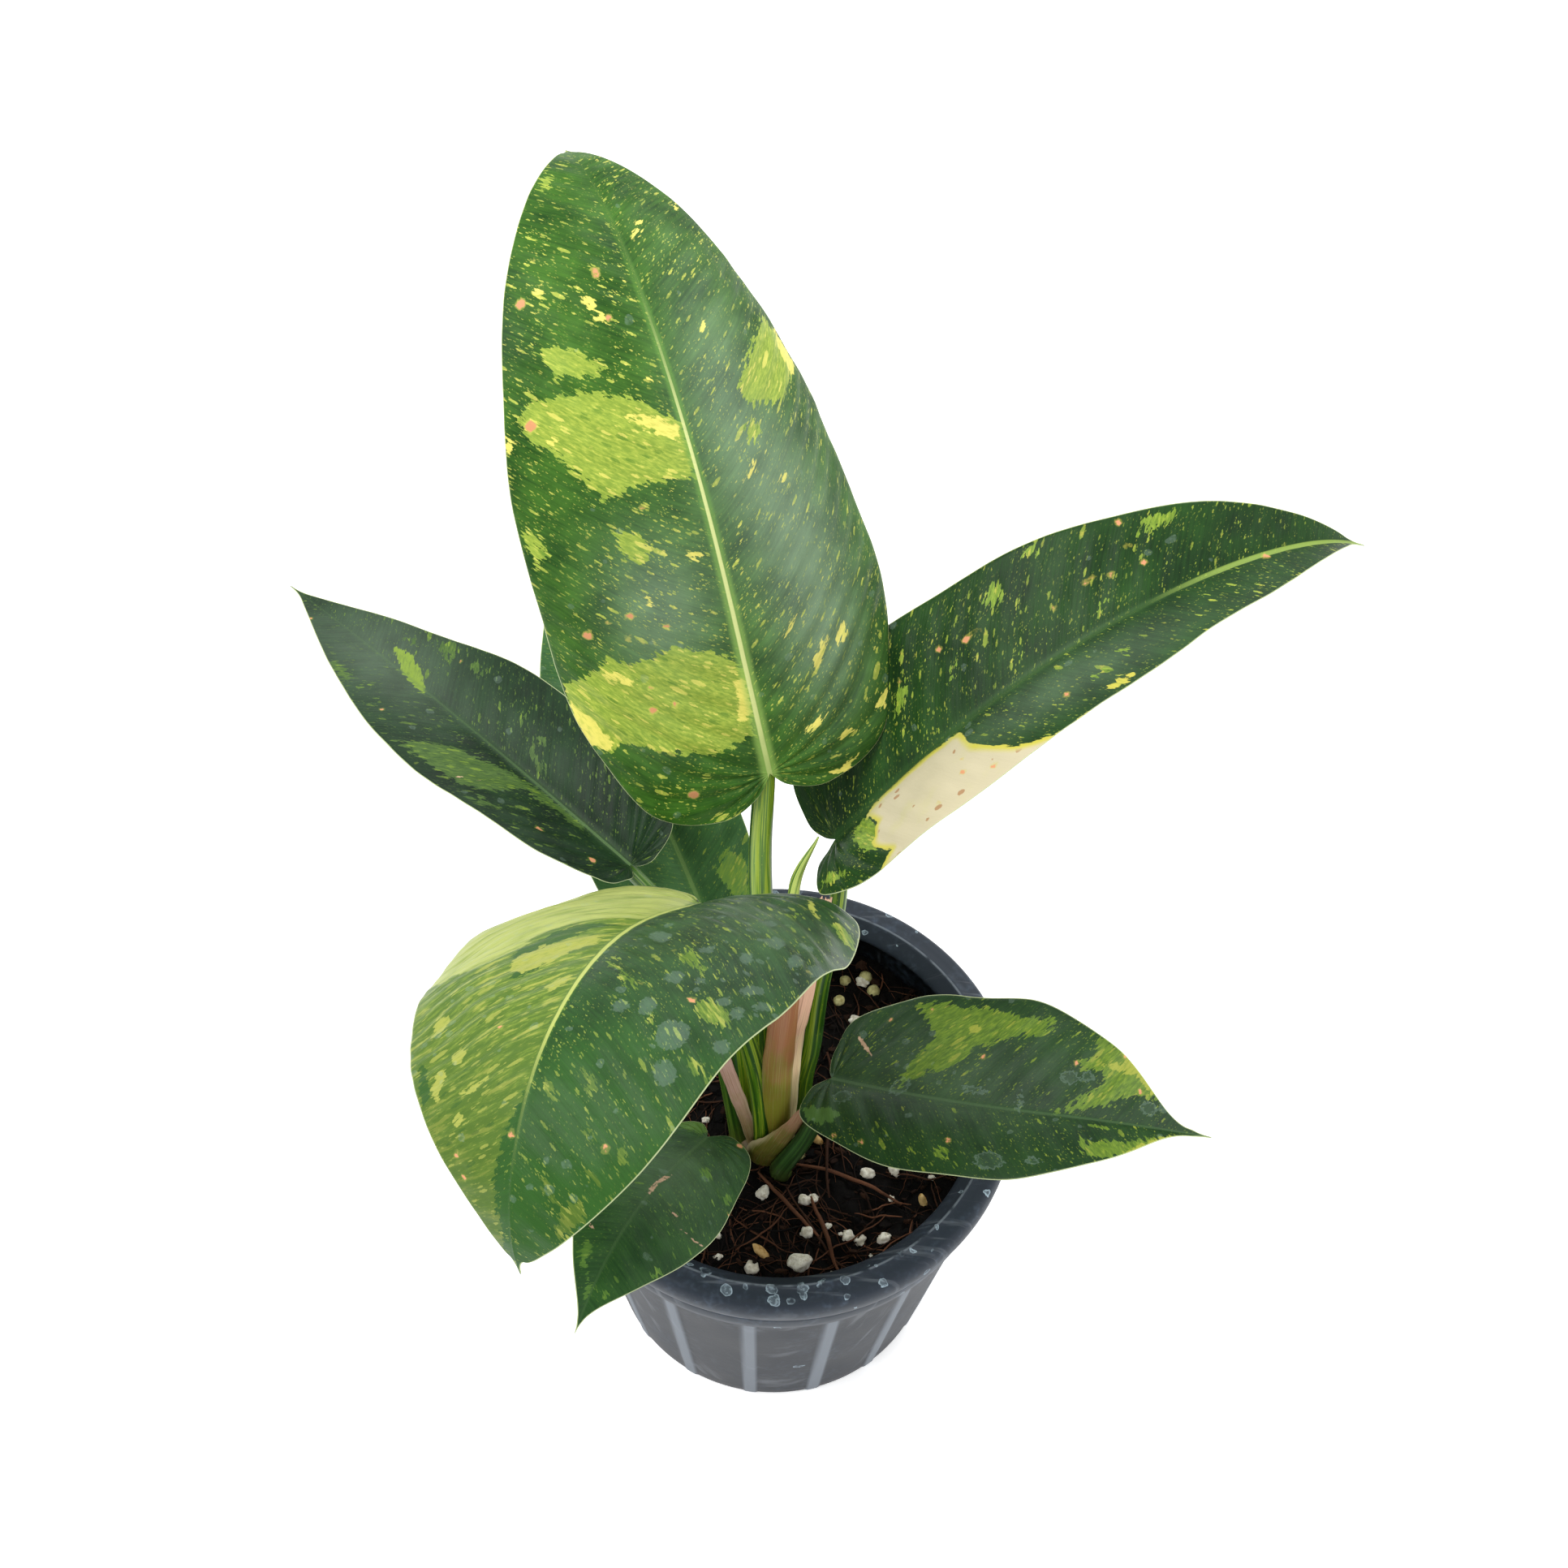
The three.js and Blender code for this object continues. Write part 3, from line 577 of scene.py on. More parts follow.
def make_crown():
    """The stem, turned from its section and made knobbly, with rings where old leaves were."""
    shares = np.linspace(0, len(CROWN_SECTION) - 1, CROWN_RINGS)[1:-1]
    radii, heights = (np.interp(shares, range(len(CROWN_SECTION)), line) for line in zip(*CROWN_SECTION))
    points = []
    for radius, height in zip(radii, heights):
        for turn in turns(CROWN_SIDES):
            x, y = math.cos(turn), math.sin(turn)
            knob = radius * (1 + 0.09 * noise.noise(Vector((2 * x, 2 * y, height / 4))))
            points.append((CROWN_PLACE[0] + knob * x, CROWN_PLACE[1] + knob * y, height))
    points += [(*CROWN_PLACE, CROWN_SECTION[0][1]), (*CROWN_PLACE, CROWN_SECTION[-1][1])]
    material, tree = new_material("Crown bark")
    cork = tree.strands(tree.place(), (120.0, 120.0, 520.0), 5.0)
    colour = tree.blend(tree.step(cork, 0.35, 0.65), paint(58, 66, 26), paint(112, 84, 50))
    tree.finish(colour, tree.scaled(cork, 0.3, 0.45), cork, 0.6, 0.0006)
    crown = make_piece("crown_stem", points, ring_faces(len(radii), CROWN_SIDES), [material])
    stand_for(crown, "crown")


make_crown()


# Leaves: each is one growth, a leathery blade on a round petiole that runs on under the blade as its rib.
# The blades are splashed at random with lime, yellow and cream, and have tan scars.
BLADE_THICKNESS = 0.6
BLADE_SPACING = 1.25
VEIN_GAP = 10.5
VEIN_DEPTH = 0.3
VEIN_SWEEP = 0.1
VEIN_LEAN = 0.62
VEIN_BEND = 0.0042
FIRST_VEIN = math.atan(1 / VEIN_LEAN)
FAN_RADIUS = 30
FOOT_HEIGHT = 103
STALK_STEPS = 60
STALK_SIDES = 24
STALK_PAINTS = ((30, 70, 8), (78, 120, 18), (142, 162, 40))
FOOT_FLARE = 0.16
RIB_SINK = 0.4
RIB_TIP = 0.4
RIB_REACH = (0.02, 0.95)
RIDGE_HEIGHT = 0.65
CHANNEL_DEPTH = 0.7

# Lengths are in mm, angles in degrees, colours 0 to 255. Two values are for base and tip or left and right.
# foot is in the crown, base is where the blade starts, and stem holds knots between them. The midrib sets
# off at a heading and an elevation, and veers and droops on its way. Each half folds up, curls over and has
# a wave: its height, number and phase. hook bends the tip aside and cusp is the drip tip. shape is the half
# outline, in shares of the length and of the half width. flecks are how many fine and coarse ones there are,
# rib its half width and two colours, crest its colour and knots of share, half width and strength. tint holds
# lime and gold. Markings lie on the flat blade, x along the midrib from the base and y to its left. Patches
# are outlines. Ovals are middle, half length, half width and turn, and the ovals of painted sheen, the gloss
# of the lights painted into the colour, have a strength too. Scars are middle and radius, and scratches go
# from one place to another.
LEAVES = [
    dict(
        name="leaf_1", foot=(-2, -1), base=(-6.5, 44.5, 254), petiole=(4.6, 3.4), heading=119, veer=-7,
        elevation=63, droop=99, droop_power=2.5, length=228, wide=(58, 58), roll=(0, 7),
        fold=((2, 8), (3, 4)), curl=((-59, -27), (-24, -94)), wave=(1.2, 3.4, 0.1), cusp=3,
        shape=dict(widest=0.2, lobe=0.05, tip=0.04, upper=0.97, taper=0.68, lobe_at=0.34, shoulder=0.91),
        dark=(23, 60, 12), light=(68, 112, 34), flecks=(0.55, 1.3), rib=(3.4, (142, 176, 86), (96, 140, 60)),
        tint=((150, 168, 64), (222, 210, 104)), flank=0.6,
        crest=(
            (214, 218, 146), (0, 0.9, 0.3), (0.1, 0.85, 0.8), (0.5, 0.55, 0.8), (0.6, 0.45, 0.3),
            (0.7, 0.4, 0),
        ),
        painted_sheen=[
            (76, -27, 46, 19, 6, 0.48), (36, -28, 24, 14, 0, 0.2), (66, 22, 24, 16, 0, 0.4),
            (130, -15, 34, 14, -8, 0.24), (30, 30, 16, 14, 0, 0.12),
        ],
        stem=[(-5, 12, 160), (-8.6, 33, 215)],
        lime=[
            [(134, 47), (139, 43), (137, 26), (131, 13), (120, 0), (103, 0), (106, 16), (105, 29),
             (120, 38), (129, 46)],
            [(45, 57), (49, 46), (54, 40), (50, 33), (54, 20), (45, 4), (36, 0), (15, 2), (14, 17),
             (22, 40), (20, 50), (33, 58)],
            [(154, 36), (149, 25), (142, 17), (140, 22), (143, 32)],
            [(95, 30), (95, 27), (92, 22), (86, 19), (82, 22), (86, 28)],
            [(101, 56), (101, 53), (91, 50), (89, 55)],
            [(205, 16), (211, 12), (207, 11), (200, 16)],
            [(146, -44), (138, -49), (123, -51), (115, -36), (119, -23), (124, -20), (136, -32)],
            [(112, -19), (114, -24), (110, -25), (106, -20)],
        ],
        yellow=[
            [(128, 18), (126, 12), (119, 1), (115, 2), (118, 8), (124, 14)],
            [(39, 57), (34, 53), (23, 46), (20, 49), (24, 56)],
            [(38, 4), (34, 1), (22, 2), (21, 6)],
            [(51, 45), (48, 39), (44, 33), (43, 36), (46, 42)],
            [(141, -49), (125, -53), (121, -48), (127, -45)],
            [(-9, -19), (-7, -30), (-11, -24)],
            [(5, -41), (8, -48), (3, -44)],
            [(133, 53), (129, 50), (125, 53)],
        ],
        slivers=[
            (161, 16, 2.8, 1.3, 55), (155, 14, 2.5, 1.2, 40), (134, 5, 2.1, 1.2, 60), (80, 7, 2.5, 1.5, 60),
            (46, -17, 3.7, 1.2, -50), (32, -25, 5.2, 1.6, -40), (35, -35, 3.3, 1.5, -35),
            (10, -18, 3.1, 0.9, -70), (2, -28, 2.9, 1.3, -80), (146, -16, 2, 1, -45),
            (181, -7, 3.3, 1, -30), (191, -24, 2.4, 0.9, -30), (99, -17, 2.7, 0.9, -50),
            (92, -28, 1.9, 0.9, -40), (169, 29, 1.7, 1.3, 50), (126, 39, 1.9, 1.1, 50),
            (70, 24, 2, 1.3, 60),
        ],
        scars=[
            (169, 11, 1.4), (167, 35, 1.5), (155, 12, 1), (132, 44, 1.8), (125, 25, 0.6), (120, 29, 0.8),
            (100, 19, 1), (96, 37, 1), (93, 24, 0.7), (67, 31, 1.3), (63, 45, 1.6), (60, 33, 1.2),
            (61, 21, 0.9), (66, 38, 0.6), (33, 31, 1.2), (34, 24, 1), (41, 30, 0.8), (1, 25, 1.6),
            (179, 27, 0.8),
        ],
    ),
    dict(
        name="leaf_2", foot=(-12, -8), base=(-51, 42, 200), petiole=(3.2, 2.5), heading=141, veer=-6,
        elevation=10, droop=24, droop_power=1, length=164, wide=(37, 30), roll=(4, 4),
        fold=((42, 7), (41, 5)), curl=((1, -17), (-11, -20)), wave=(1, 3, 0.6), cusp=4,
        shape=dict(widest=0.18, lobe=0.03, tip=0.07, upper=0.88, taper=0.49, lobe_at=0.27, shoulder=0.93),
        dark=(13, 32, 16), light=(32, 60, 31), flecks=(0.5, 1), rib=(2.6, (76, 110, 56), (56, 84, 48)),
        tint=((74, 100, 44), (122, 146, 46)), flank=0.12,
        crest=((84, 112, 66), (0, 0.6, 0.8), (0.4, 0.4, 0.25), (1, 0.4, 0.05)),
        painted_sheen=[(116, 0, 34, 20, 0, 0.2)], scratches=[(52, 20, 58, 26)],
        stalk=((30, 64, 14), (54, 94, 24), (96, 124, 40)),
        lime=[
            [(80, 29), (74, 20), (69, 14), (57, 8), (43, 2), (19, 0), (19, 4), (42, 7), (46, 21), (53, 27),
             (71, 28)],
            [(107, -16), (101, -20), (98, -18), (97, -13), (101, -14)],
            [(126, 15), (124, 14), (113, 16), (115, 19), (123, 17)],
            [(117, -9), (114, -12), (111, -11)],
            [(91, -17), (91, -19), (84, -17), (85, -15)],
            [(52, -7), (51, -9), (41, -4), (42, -2)],
            [(53, -11), (50, -13), (48, -10)],
            [(64, -13), (63, -16), (59, -12)],
            [(46, 34), (46, 28), (37, 27), (41, 31)],
        ],
        yellow=[[(117, -5), (111, -7), (103, -5), (94, 1), (96, 2), (107, 0)]],
        scars=[
            (95, 20, 0.9), (68, 24, 0.9), (25, 22, 1.4), (69, 31, 0.6), (94, -16, 0.7), (7, 17, 1.2),
            (148, 6, 0.6),
        ],
    ),
    dict(
        name="leaf_3", foot=(-11, 1), base=(-23.5, 40, 157), petiole=(3, 2.4), heading=121, veer=3,
        elevation=42, droop=36, droop_power=1.3, length=131, wide=(32, 25), roll=(0, -1),
        fold=((18, 11), (19, 12)), curl=((-23, -16), (-23, -16)), wave=(1, 3, 0.3), cusp=4,
        shape=dict(widest=0.36, lobe=0.07, tip=0.06, upper=0.86, taper=0.52, lobe_at=0.43, shoulder=0.93),
        dark=(44, 78, 40), light=(68, 110, 58), flecks=(0.5, 0.5), rib=(2.2, (80, 116, 54), (80, 110, 54)),
        tint=((104, 134, 50), (160, 166, 70)), crest=((110, 140, 76), (0, 0.8, 0.6), (1, 0.5, 0.3)),
        lime=[
            [(9, -12), (22, -9), (27, -14), (22, -20), (10, -17)],
            [(70, 12), (78, 20), (84, 22), (80, 10)],
            [(95, -6), (104, -12), (100, -4)],
        ],
        scars=[(36, 9, 1.2), (80, -10, 1)],
    ),
    dict(
        name="leaf_4", foot=(10, -3), base=(15, 45.5, 215), petiole=(3.4, 2.6), heading=17, veer=17,
        elevation=56, droop=98, droop_power=1.6, length=219, wide=(42, 34), roll=(-5, 5),
        fold=((22, 21), (28, 17)), curl=((-16, -5), (-15, 1)), wave=(1.2, 4, 0.2), cusp=6,
        shape=dict(widest=0.18, lobe=0.03, tip=0.06, upper=0.86, taper=0.54, lobe_at=0.29, shoulder=0.96),
        dark=(14, 40, 12), light=(36, 72, 24), flecks=(0.5, 0.9), rib=(2.4, (48, 80, 36), (58, 92, 40)),
        tint=((124, 150, 50), (186, 178, 72)), spots=True,
        crest=((132, 156, 70), (0, 0.6, 0), (0.6, 0.6, 0), (0.72, 1, 0.75), (0.9, 0.9, 0.9), (1, 0.6, 0.8)),
        painted_sheen=[(98, -13, 44, 11, -4, 0.16)],
        stem=[(8, 0, 131), (10.4, 5.4, 150), (12.3, 13.5, 175), (16.5, 28, 201)],
        lime=[
            [(12, -4), (18, -4), (24, -12), (25, -18), (27, -26), (19, -22), (13, -11)],
            [(92, 30), (97, 31), (97, 26), (93, 24), (90, 27)],
            [(144, 24), (153, 23), (155, 22), (149, 20), (141, 20)],
            [(107, -17), (113, -18), (112, -20)],
            [(67, 13), (74, 20), (72, 15)],
            [(44, 15), (47, 19), (56, 24), (56, 21), (48, 16)],
            [(107, 32), (113, 34), (112, 31)],
            [(116, 3), (122, 8), (121, 5)],
            [(88, 6), (93, 10), (92, 7)],
            [(-3, -18), (1, -17), (10, -24), (3, -23)],
            [(117, -13), (121, -14), (119, -17)],
        ],
        yellow=[[(109, -25), (112, -23), (118, -24), (112, -27)]],
        cream=[
            [(62, -2), (66, -13), (79, -25), (93, -31), (101, -29), (108, -32), (60, -38), (22, -36),
             (31, -30), (24, -24), (22, -20), (25, -13), (18, -4), (20, -1), (45, -0.6)],
        ],
        scars=[
            (123, 15, 0.8), (119, 15, 0.6), (128, 13, 1), (136, 19, 1), (137, 27, 1), (138, 12, 0.9),
            (175, -1, 1.3), (108, 13, 1), (110, 18, 0.6), (70, 24, 1), (79, 21, 1.1), (84, 21, 1.1),
            (98, -18, 1.1), (77, 29, 0.9), (53, 24, 0.8), (50, -26, 1.1), (71, -26, 1.4), (61, -21, 1.1),
            (61, -15, 0.6),
        ],
    ),
    dict(
        name="leaf_5", foot=(-6, -11), base=(-26, 2, 245), petiole=(3.9, 2.7), heading=238, veer=24,
        elevation=50, droop=135, droop_power=2.5, length=194, wide=(60, 60), roll=(16, 17),
        fold=((30, -12), (5, -12)), curl=((-65, -18), (-42, -16)), wave=(1.5, 3, 0.4), cusp=5, hook=6,
        shape=dict(widest=0.34, lobe=0.11, tip=0.03, upper=0.88, taper=0.61, lobe_at=0.56, shoulder=1),
        dark=(16, 38, 19), light=(40, 78, 30), flecks=(0.4, 1.1), rib=(2.4, (110, 138, 70), (70, 110, 44)),
        tint=((108, 130, 50), (152, 156, 72)), flank=0.3, edge=0.5, streaks=True, drops=0.3, tipward=0.5,
        crest=(
            (176, 184, 100), (0, 0.9, 0.8), (0.4, 0.8, 0.9), (0.62, 0.6, 0.8), (0.74, 0.5, 0.15),
            (0.85, 0.4, 0),
        ),
        painted_sheen=[(40, 30, 30, 26, 0, 0.15), (90, 24, 26, 22, 0, 0.05), (34, -20, 22, 12, 0, 0.08)],
        stem=[(-4.9, -12, 126), (-10, -6, 167)],
        lime=[
            [(196, -3), (182, -4), (166, -6), (152, -4), (140, 0), (0, 0), (-16, -10), (-14, -40), (0, -54),
             (60, -62), (120, -58), (150, -50), (178, -32), (194, -14)],
            [(104, 36), (100, 36), (97, 39), (99, 41), (98, 44), (102, 46), (109, 47), (107, 43),
             (106, 38)],
            [(84, 25), (80, 23), (76, 24), (85, 32), (86, 30)],
            [(19, 34), (12, 36), (23, 38)],
            [(3, 45), (-1, 47), (3, 52), (10, 58), (11, 54), (7, 49)],
            [(177, 13), (169, 15), (165, 21), (171, 21), (180, 14)],
        ],
        dabs=[
            (135, 17, 3, 1.5, 48), (139, 6, 3, 1.3, 45), (123, 43, 2.6, 1.4, 50), (166, 11, 3, 1.3, 35),
            (92, 8, 4, 1.1, 48), (100, 15, 4, 1.2, 50), (126, 48, 2.6, 1.2, 30), (152, 30, 2.1, 1.1, 40),
            (148, 20, 2, 1, 45), (158, 22, 2.2, 1.2, 40), (112, 26, 2, 1, 45),
        ],
        green=[
            [(67, -23), (60, -17), (57, -9), (58, -3), (63, -8), (72, -15), (81, -22), (89, -28),
             (78, -28)],
            [(93, -23), (88, -16), (93, -15), (98, -22)],
            [(133, -42), (135, -39), (146, -34), (151, -36), (144, -39)],
        ],
        yellow=[
            [(-8, 32), (4, 41), (7, 40), (1, 36)],
            [(122, -42), (111, -43), (112, -38), (119, -38)],
            [(143, -35), (135, -33), (137, -30), (149, -31)],
            [(133, -30), (127, -29), (128, -25), (133, -26)],
            [(83, -27), (76, -20), (70, -6), (73, -3), (87, -11), (95, -19), (93, -25)],
            [(144, -25), (137, -15), (137, -13), (144, -20)],
            [(154, -24), (151, -23), (151, -20), (155, -20)],
            [(103, -10), (96, -4), (98, -2), (106, -6)],
        ],
        pale=[
            [(74, -66), (51, -64), (29, -60), (0, -56), (-18, -40), (-18, -12), (-4, -4), (20, 1), (45, -1),
             (52, -8), (57, -18), (63, -25), (74, -29), (81, -34), (86, -44), (84, -60)],
        ],
        scars=[
            (100, 34, 1.2), (151, 25, 1.1), (153, -2, 1.1), (164, -20, 1.1), (121, -16, 0.9),
            (125, -10, 0.8), (171, -17, 0.9), (61, 57, 1), (99, 19, 0.9), (72, 25, 0.9), (79, 21, 0.9),
        ],
        stains=[
            (115, 34, 5.2, 4.6, 0), (127, 36, 3.8, 3.2, 40), (55, 43, 5, 3, 0), (60, 52, 5, 2, 0),
            (57, 59, 5, 2.4, 0), (85, 47, 4.2, 2.1, -30), (90, 52, 3.8, 1.6, -30), (96, 42, 2.6, 1.8, -30),
            (114, 48, 2.6, 2.3, 0), (99, 47, 3.1, 1.8, 0), (75, 29, 2.6, 1.7, -30), (70, 13, 4.5, 3, 50),
            (72, 40, 2.5, 2.1, 0), (91, 33, 2, 1.4, 0), (93, 26, 3.2, 2.5, 0), (108, 24, 3.4, 2.4, 0),
            (110, 17, 2.7, 2.2, 0), (38, 35, 4, 1.8, 0), (44, 50, 4, 2, 0),
        ],
    ),
    dict(
        name="leaf_6", foot=(2, -18.5), base=(17, -11.5, 159), petiole=(3.9, 2.3), heading=-22, veer=16,
        elevation=19, droop=8, droop_power=1, length=124, wide=(39, 30), roll=(-11, -4),
        fold=((8, 23), (17, 26)), curl=((0, -9), (-43, -32)), wave=(0.9, 3, 0.7), cusp=3, hook=-3.5,
        shape=dict(widest=0.27, lobe=0.03, tip=0.08, upper=0.97, taper=0.62, lobe_at=0.3, shoulder=0.88),
        dark=(17, 42, 18), light=(36, 68, 26), flecks=(0.55, 0.6), rib=(2.2, (46, 72, 40), (46, 72, 40)),
        tint=((98, 124, 38), (148, 152, 58)), drops=0.12, veil=(0.05, 0.18),
        crest=((70, 96, 60), (0, 0.7, 0.6), (1, 0.4, 0.4)),
        painted_sheen=[(40, 10, 40, 20, 0, 0.1)], stem=[(2, -21, 112), (9.5, -18, 129), (15, -14, 147)],
        stalk=((30, 56, 22), (46, 80, 34), (60, 94, 38)),
        lime=[
            [(19, 33), (27, 35), (46, 36), (61, 32), (71, 32), (71, 29), (68, 26), (60, 26), (44, 20),
             (42, 15), (38, 11), (32, 9), (22, 1), (25, 12), (30, 21), (27, 25)],
            [(87, 27), (90, 28), (95, 25), (103, 20), (112, 10), (107, 9), (102, 10), (93, 5), (76, 0),
             (84, 6), (91, 12), (92, 15), (85, 17), (81, 19), (87, 21)],
            [(87, -9), (89, -11), (100, -9), (112, -4), (108, -11), (102, -16), (90, -17)],
            [(88, -3), (98, -3), (94, -5)],
            [(45, -21), (49, -21), (49, -25), (45, -24)],
        ],
        dull=(74, 106, 48), green=[[(-3, -16), (4, -14), (11, -15), (9, -20), (2, -21)]],
        yellow=[
            [(96, 24), (103, 19), (110, 11), (107, 11), (102, 16), (90, 18), (98, 20)],
            [(101, -15), (106, -9), (114, -3), (121, -1), (110, -9)],
            [(41, 29), (44, 30), (45, 26), (41, 25)],
        ],
        scars=[
            (49, 17, 0.9), (44, 27, 0.9), (81, 18, 0.9), (21, -24, 0.8), (48, -18, 1.1), (48, -15, 0.7),
            (104, 11, 0.9), (11, 26, 0.8), (97, 22, 1), (12, -24, 0.8), (25, 32, 0.7),
        ],
        stains=[
            (62, -23, 4.4, 3.1, 0), (24, 2, 4, 2.7, 60), (49, 5, 4.1, 1.3, 0), (80, 13, 3.1, 2.3, 0),
            (86, 14, 2.2, 1.9, 0), (75, -21, 2.3, 1.5, 0), (65, 3, 4, 1.2, 90), (107, 6, 2.6, 2.2, 0),
            (8, -8, 3.1, 2.8, 0),
        ],
        scratches=[(2, 18, 9, 12)],
    ),
    dict(
        name="leaf_7", foot=(-11, -16), base=(-23, -29, 148), petiole=(2.8, 2), heading=242, veer=11,
        elevation=38, droop=50, droop_power=2.7, length=106, wide=(25, 20), roll=(3, -16),
        fold=((3, 7), (3, 14)), curl=((-46, -20), (-41, -13)), wave=(0.8, 3, 0.5), cusp=2,
        shape=dict(widest=0.38, lobe=0.07, tip=0.06, upper=0.91, taper=0.54, lobe_at=0.3, shoulder=0.89),
        dark=(25, 55, 25), light=(50, 88, 38), flecks=(0.5, 0.35), rib=(1.8, (50, 80, 42), (50, 80, 42)),
        tint=((84, 118, 46), (120, 146, 60)),
        crest=((80, 108, 66), (0, 0.6, 0.4), (0.3, 0.5, 0.25), (1, 0.4, 0.2)),
        painted_sheen=[(30, 0, 26, 14, 0, 0.14)], stem=[(-14, -20, 122)],
        lime=[
            [(-8, -12), (-9, -3), (-5, -1), (0, -3), (0, -9), (-4, -12)],
            [(19, 7), (17, 9), (20, 12), (24, 11), (23, 8)],
            [(25, 18), (20, 19), (20, 22), (25, 22)],
            [(79, -8), (80, -6), (90, -5), (86, -8)],
            [(91, -3), (93, 0), (97, -1)],
            [(93, 3), (92, 5), (95, 4)],
            [(76, 17), (75, 15), (79, 15)],
        ],
        scars=[(-6, 10, 1), (29, 24, 0.8), (47, 7, 0.5), (49, 3, 0.4), (50, 16, 0.5)],
        scratches=[
            (48, -0.3, 40, -0.5), (40, -0.5, 33, 1), (51, 8.5, 49, 12), (55, 14, 54, 17), (55, 19, 53, 24),
            (73, -11, 75, -8),
        ],
    ),
]


def give_map(piece, name, across, along):
    """Lays a flat map, in centimetres, over the piece."""
    corners = np.empty(len(piece.data.loops), np.int32)
    piece.data.loops.foreach_get("vertex_index", corners)
    flat = np.stack([np.asarray(across), np.asarray(along)], -1)[corners] / 10
    layer = piece.data.uv_layers.new(name=name)
    layer.data.foreach_set("uv", flat.astype(np.float32).ravel())


def slide(pair, share):
    """A value that runs from the first of a pair at the blade's base to the second at its tip."""
    return pair[0] + (pair[1] - pair[0]) * share


def curve_through(knots, count, lean=1):
    """A smooth line through knots. With a lean of 1 it comes straight into its ends, with 0 it eases in."""
    knots = np.array(knots, float)
    before = knots[0] + lean * (knots[0] - knots[1])
    after = knots[-1] + lean * (knots[-1] - knots[-2])
    ends = np.vstack([before, knots, after])
    place = np.linspace(0, len(knots) - 1, count)
    i = np.minimum(place.astype(int), len(knots) - 2)
    t = (place - i)[:, None]
    a, b, c, d = ends[i], ends[i + 1], ends[i + 2], ends[i + 3]
    return 0.5 * (2 * b + (c - a) * t + (2 * a - 5 * b + 4 * c - d) * t**2 + (3 * b - a - 3 * c + d) * t**3)


def midrib_of(leaf, stations):
    """Point, way ahead, side and outward directions at stations along the midrib."""
    marks = np.linspace(-0.25, 1.05, 261)

    def ahead_at(share):
        grown = np.clip(share, 0, 1)
        up = np.radians(leaf["elevation"] - leaf["droop"] * grown ** leaf["droop_power"])
        turn = np.radians(leaf["heading"] + leaf["veer"] * grown)
        return np.stack([np.cos(up) * np.cos(turn), np.cos(up) * np.sin(turn), np.sin(up)], -1), turn

    steps = ahead_at((marks[1:] + marks[:-1]) / 2)[0] * (marks[1] - marks[0]) * leaf["length"]
    line = np.vstack([np.zeros(3), np.cumsum(steps, 0)])
    start = [np.interp(0, marks, line[:, k]) for k in range(3)]
    line += np.array(leaf["base"]) - start
    point = np.stack([np.interp(stations, marks, line[:, k]) for k in range(3)], -1)
    ahead, turn = ahead_at(stations)
    left = np.stack([-np.sin(turn), np.cos(turn), 0 * turn], -1)
    out = np.cross(ahead, left)
    point = point + left * (leaf.get("hook", 0) * np.clip((stations - 0.6) / 0.4, 0, 1.1) ** 2)[..., None]
    roll = np.radians(slide(leaf["roll"], np.clip(stations, 0, 1)))[..., None]
    side = left * np.cos(roll) + out * np.sin(roll)
    outward = out * np.cos(roll) - left * np.sin(roll)
    return point, ahead, side, outward


def outline_of(leaf, count):
    """The flat outline of a half blade, in shares of its length and width, from its notch to its drip tip."""
    shape = leaf["shape"]
    widest, lobe, tip, lobe_at = (shape[key] for key in ("widest", "lobe", "tip", "lobe_at"))
    rest = 1 - widest
    return curve_through([
        (0, 0),
        (-0.62 * lobe, 0.3 * lobe_at),
        (-lobe, lobe_at),
        (-0.4 * lobe, (lobe_at + shape["shoulder"]) / 2 + 0.07),
        (0.42 * widest, shape["shoulder"]),
        (widest, 1),
        (widest + 0.36 * rest, shape["upper"]),
        (widest + 0.68 * rest, shape["taper"]),
        (1 - tip, 0.13),
        (1 - 0.2 * tip, 0.03),
        (1 + leaf["cusp"] / leaf["length"], 0.004),
    ], count, lean=0)


def vein_place(x, y):
    """How far out along its side vein a place is, and which vein it is on, both in mm."""
    away = np.abs(y)
    fan = x < VEIN_LEAN * away
    bend = VEIN_BEND * away**2
    turned = np.maximum(np.arctan2(away, x) - FIRST_VEIN, 0)
    row = np.where(fan, -turned * FAN_RADIUS, x - VEIN_LEAN * away) - bend
    reach = np.where(fan, np.hypot(x, away), away * math.hypot(1, VEIN_LEAN))
    return reach, row


def inside_outline(x, y, corners):
    """How far places lie inside a closed outline, in mm. Outside is negative."""
    corners = np.array(corners, float)
    nearest = np.full(x.shape, 1e9)
    inside = np.zeros(x.shape, bool)
    for (ax, ay), (bx, by) in zip(corners, np.roll(corners, -1, axis=0)):
        dx, dy = bx - ax, by - ay
        share = np.clip(((x - ax) * dx + (y - ay) * dy) / (dx * dx + dy * dy), 0, 1)
        nearest = np.minimum(nearest, np.hypot(x - ax - share * dx, y - ay - share * dy))
        crossed = (ay > y) != (by > y)
        inside ^= crossed & (x < ax + (y - ay) * dx / np.where(dy == 0, 1e-9, dy))
    return np.where(inside, nearest, -nearest)


def oval_place(x, y, cx, cy, long, short, turn):
    """Where places are in an oval, along it and across it: its edge is at a distance of 1."""
    turn = math.radians(turn)
    along = (x - cx) * math.cos(turn) + (y - cy) * math.sin(turn)
    across = (y - cy) * math.cos(turn) - (x - cx) * math.sin(turn)
    return along / long, across / short


def mark(x, y, outlines=(), ovals=()):
    """How far places lie inside the nearest of some markings, in mm, from -9 up."""
    best = np.full(x.shape, -9.0)
    for corners in outlines:
        best = np.maximum(best, inside_outline(x, y, corners))
    for oval in ovals:
        short = oval[3]
        best = np.maximum(best, (1 - np.hypot(*oval_place(x, y, *oval))) * short)
    return best


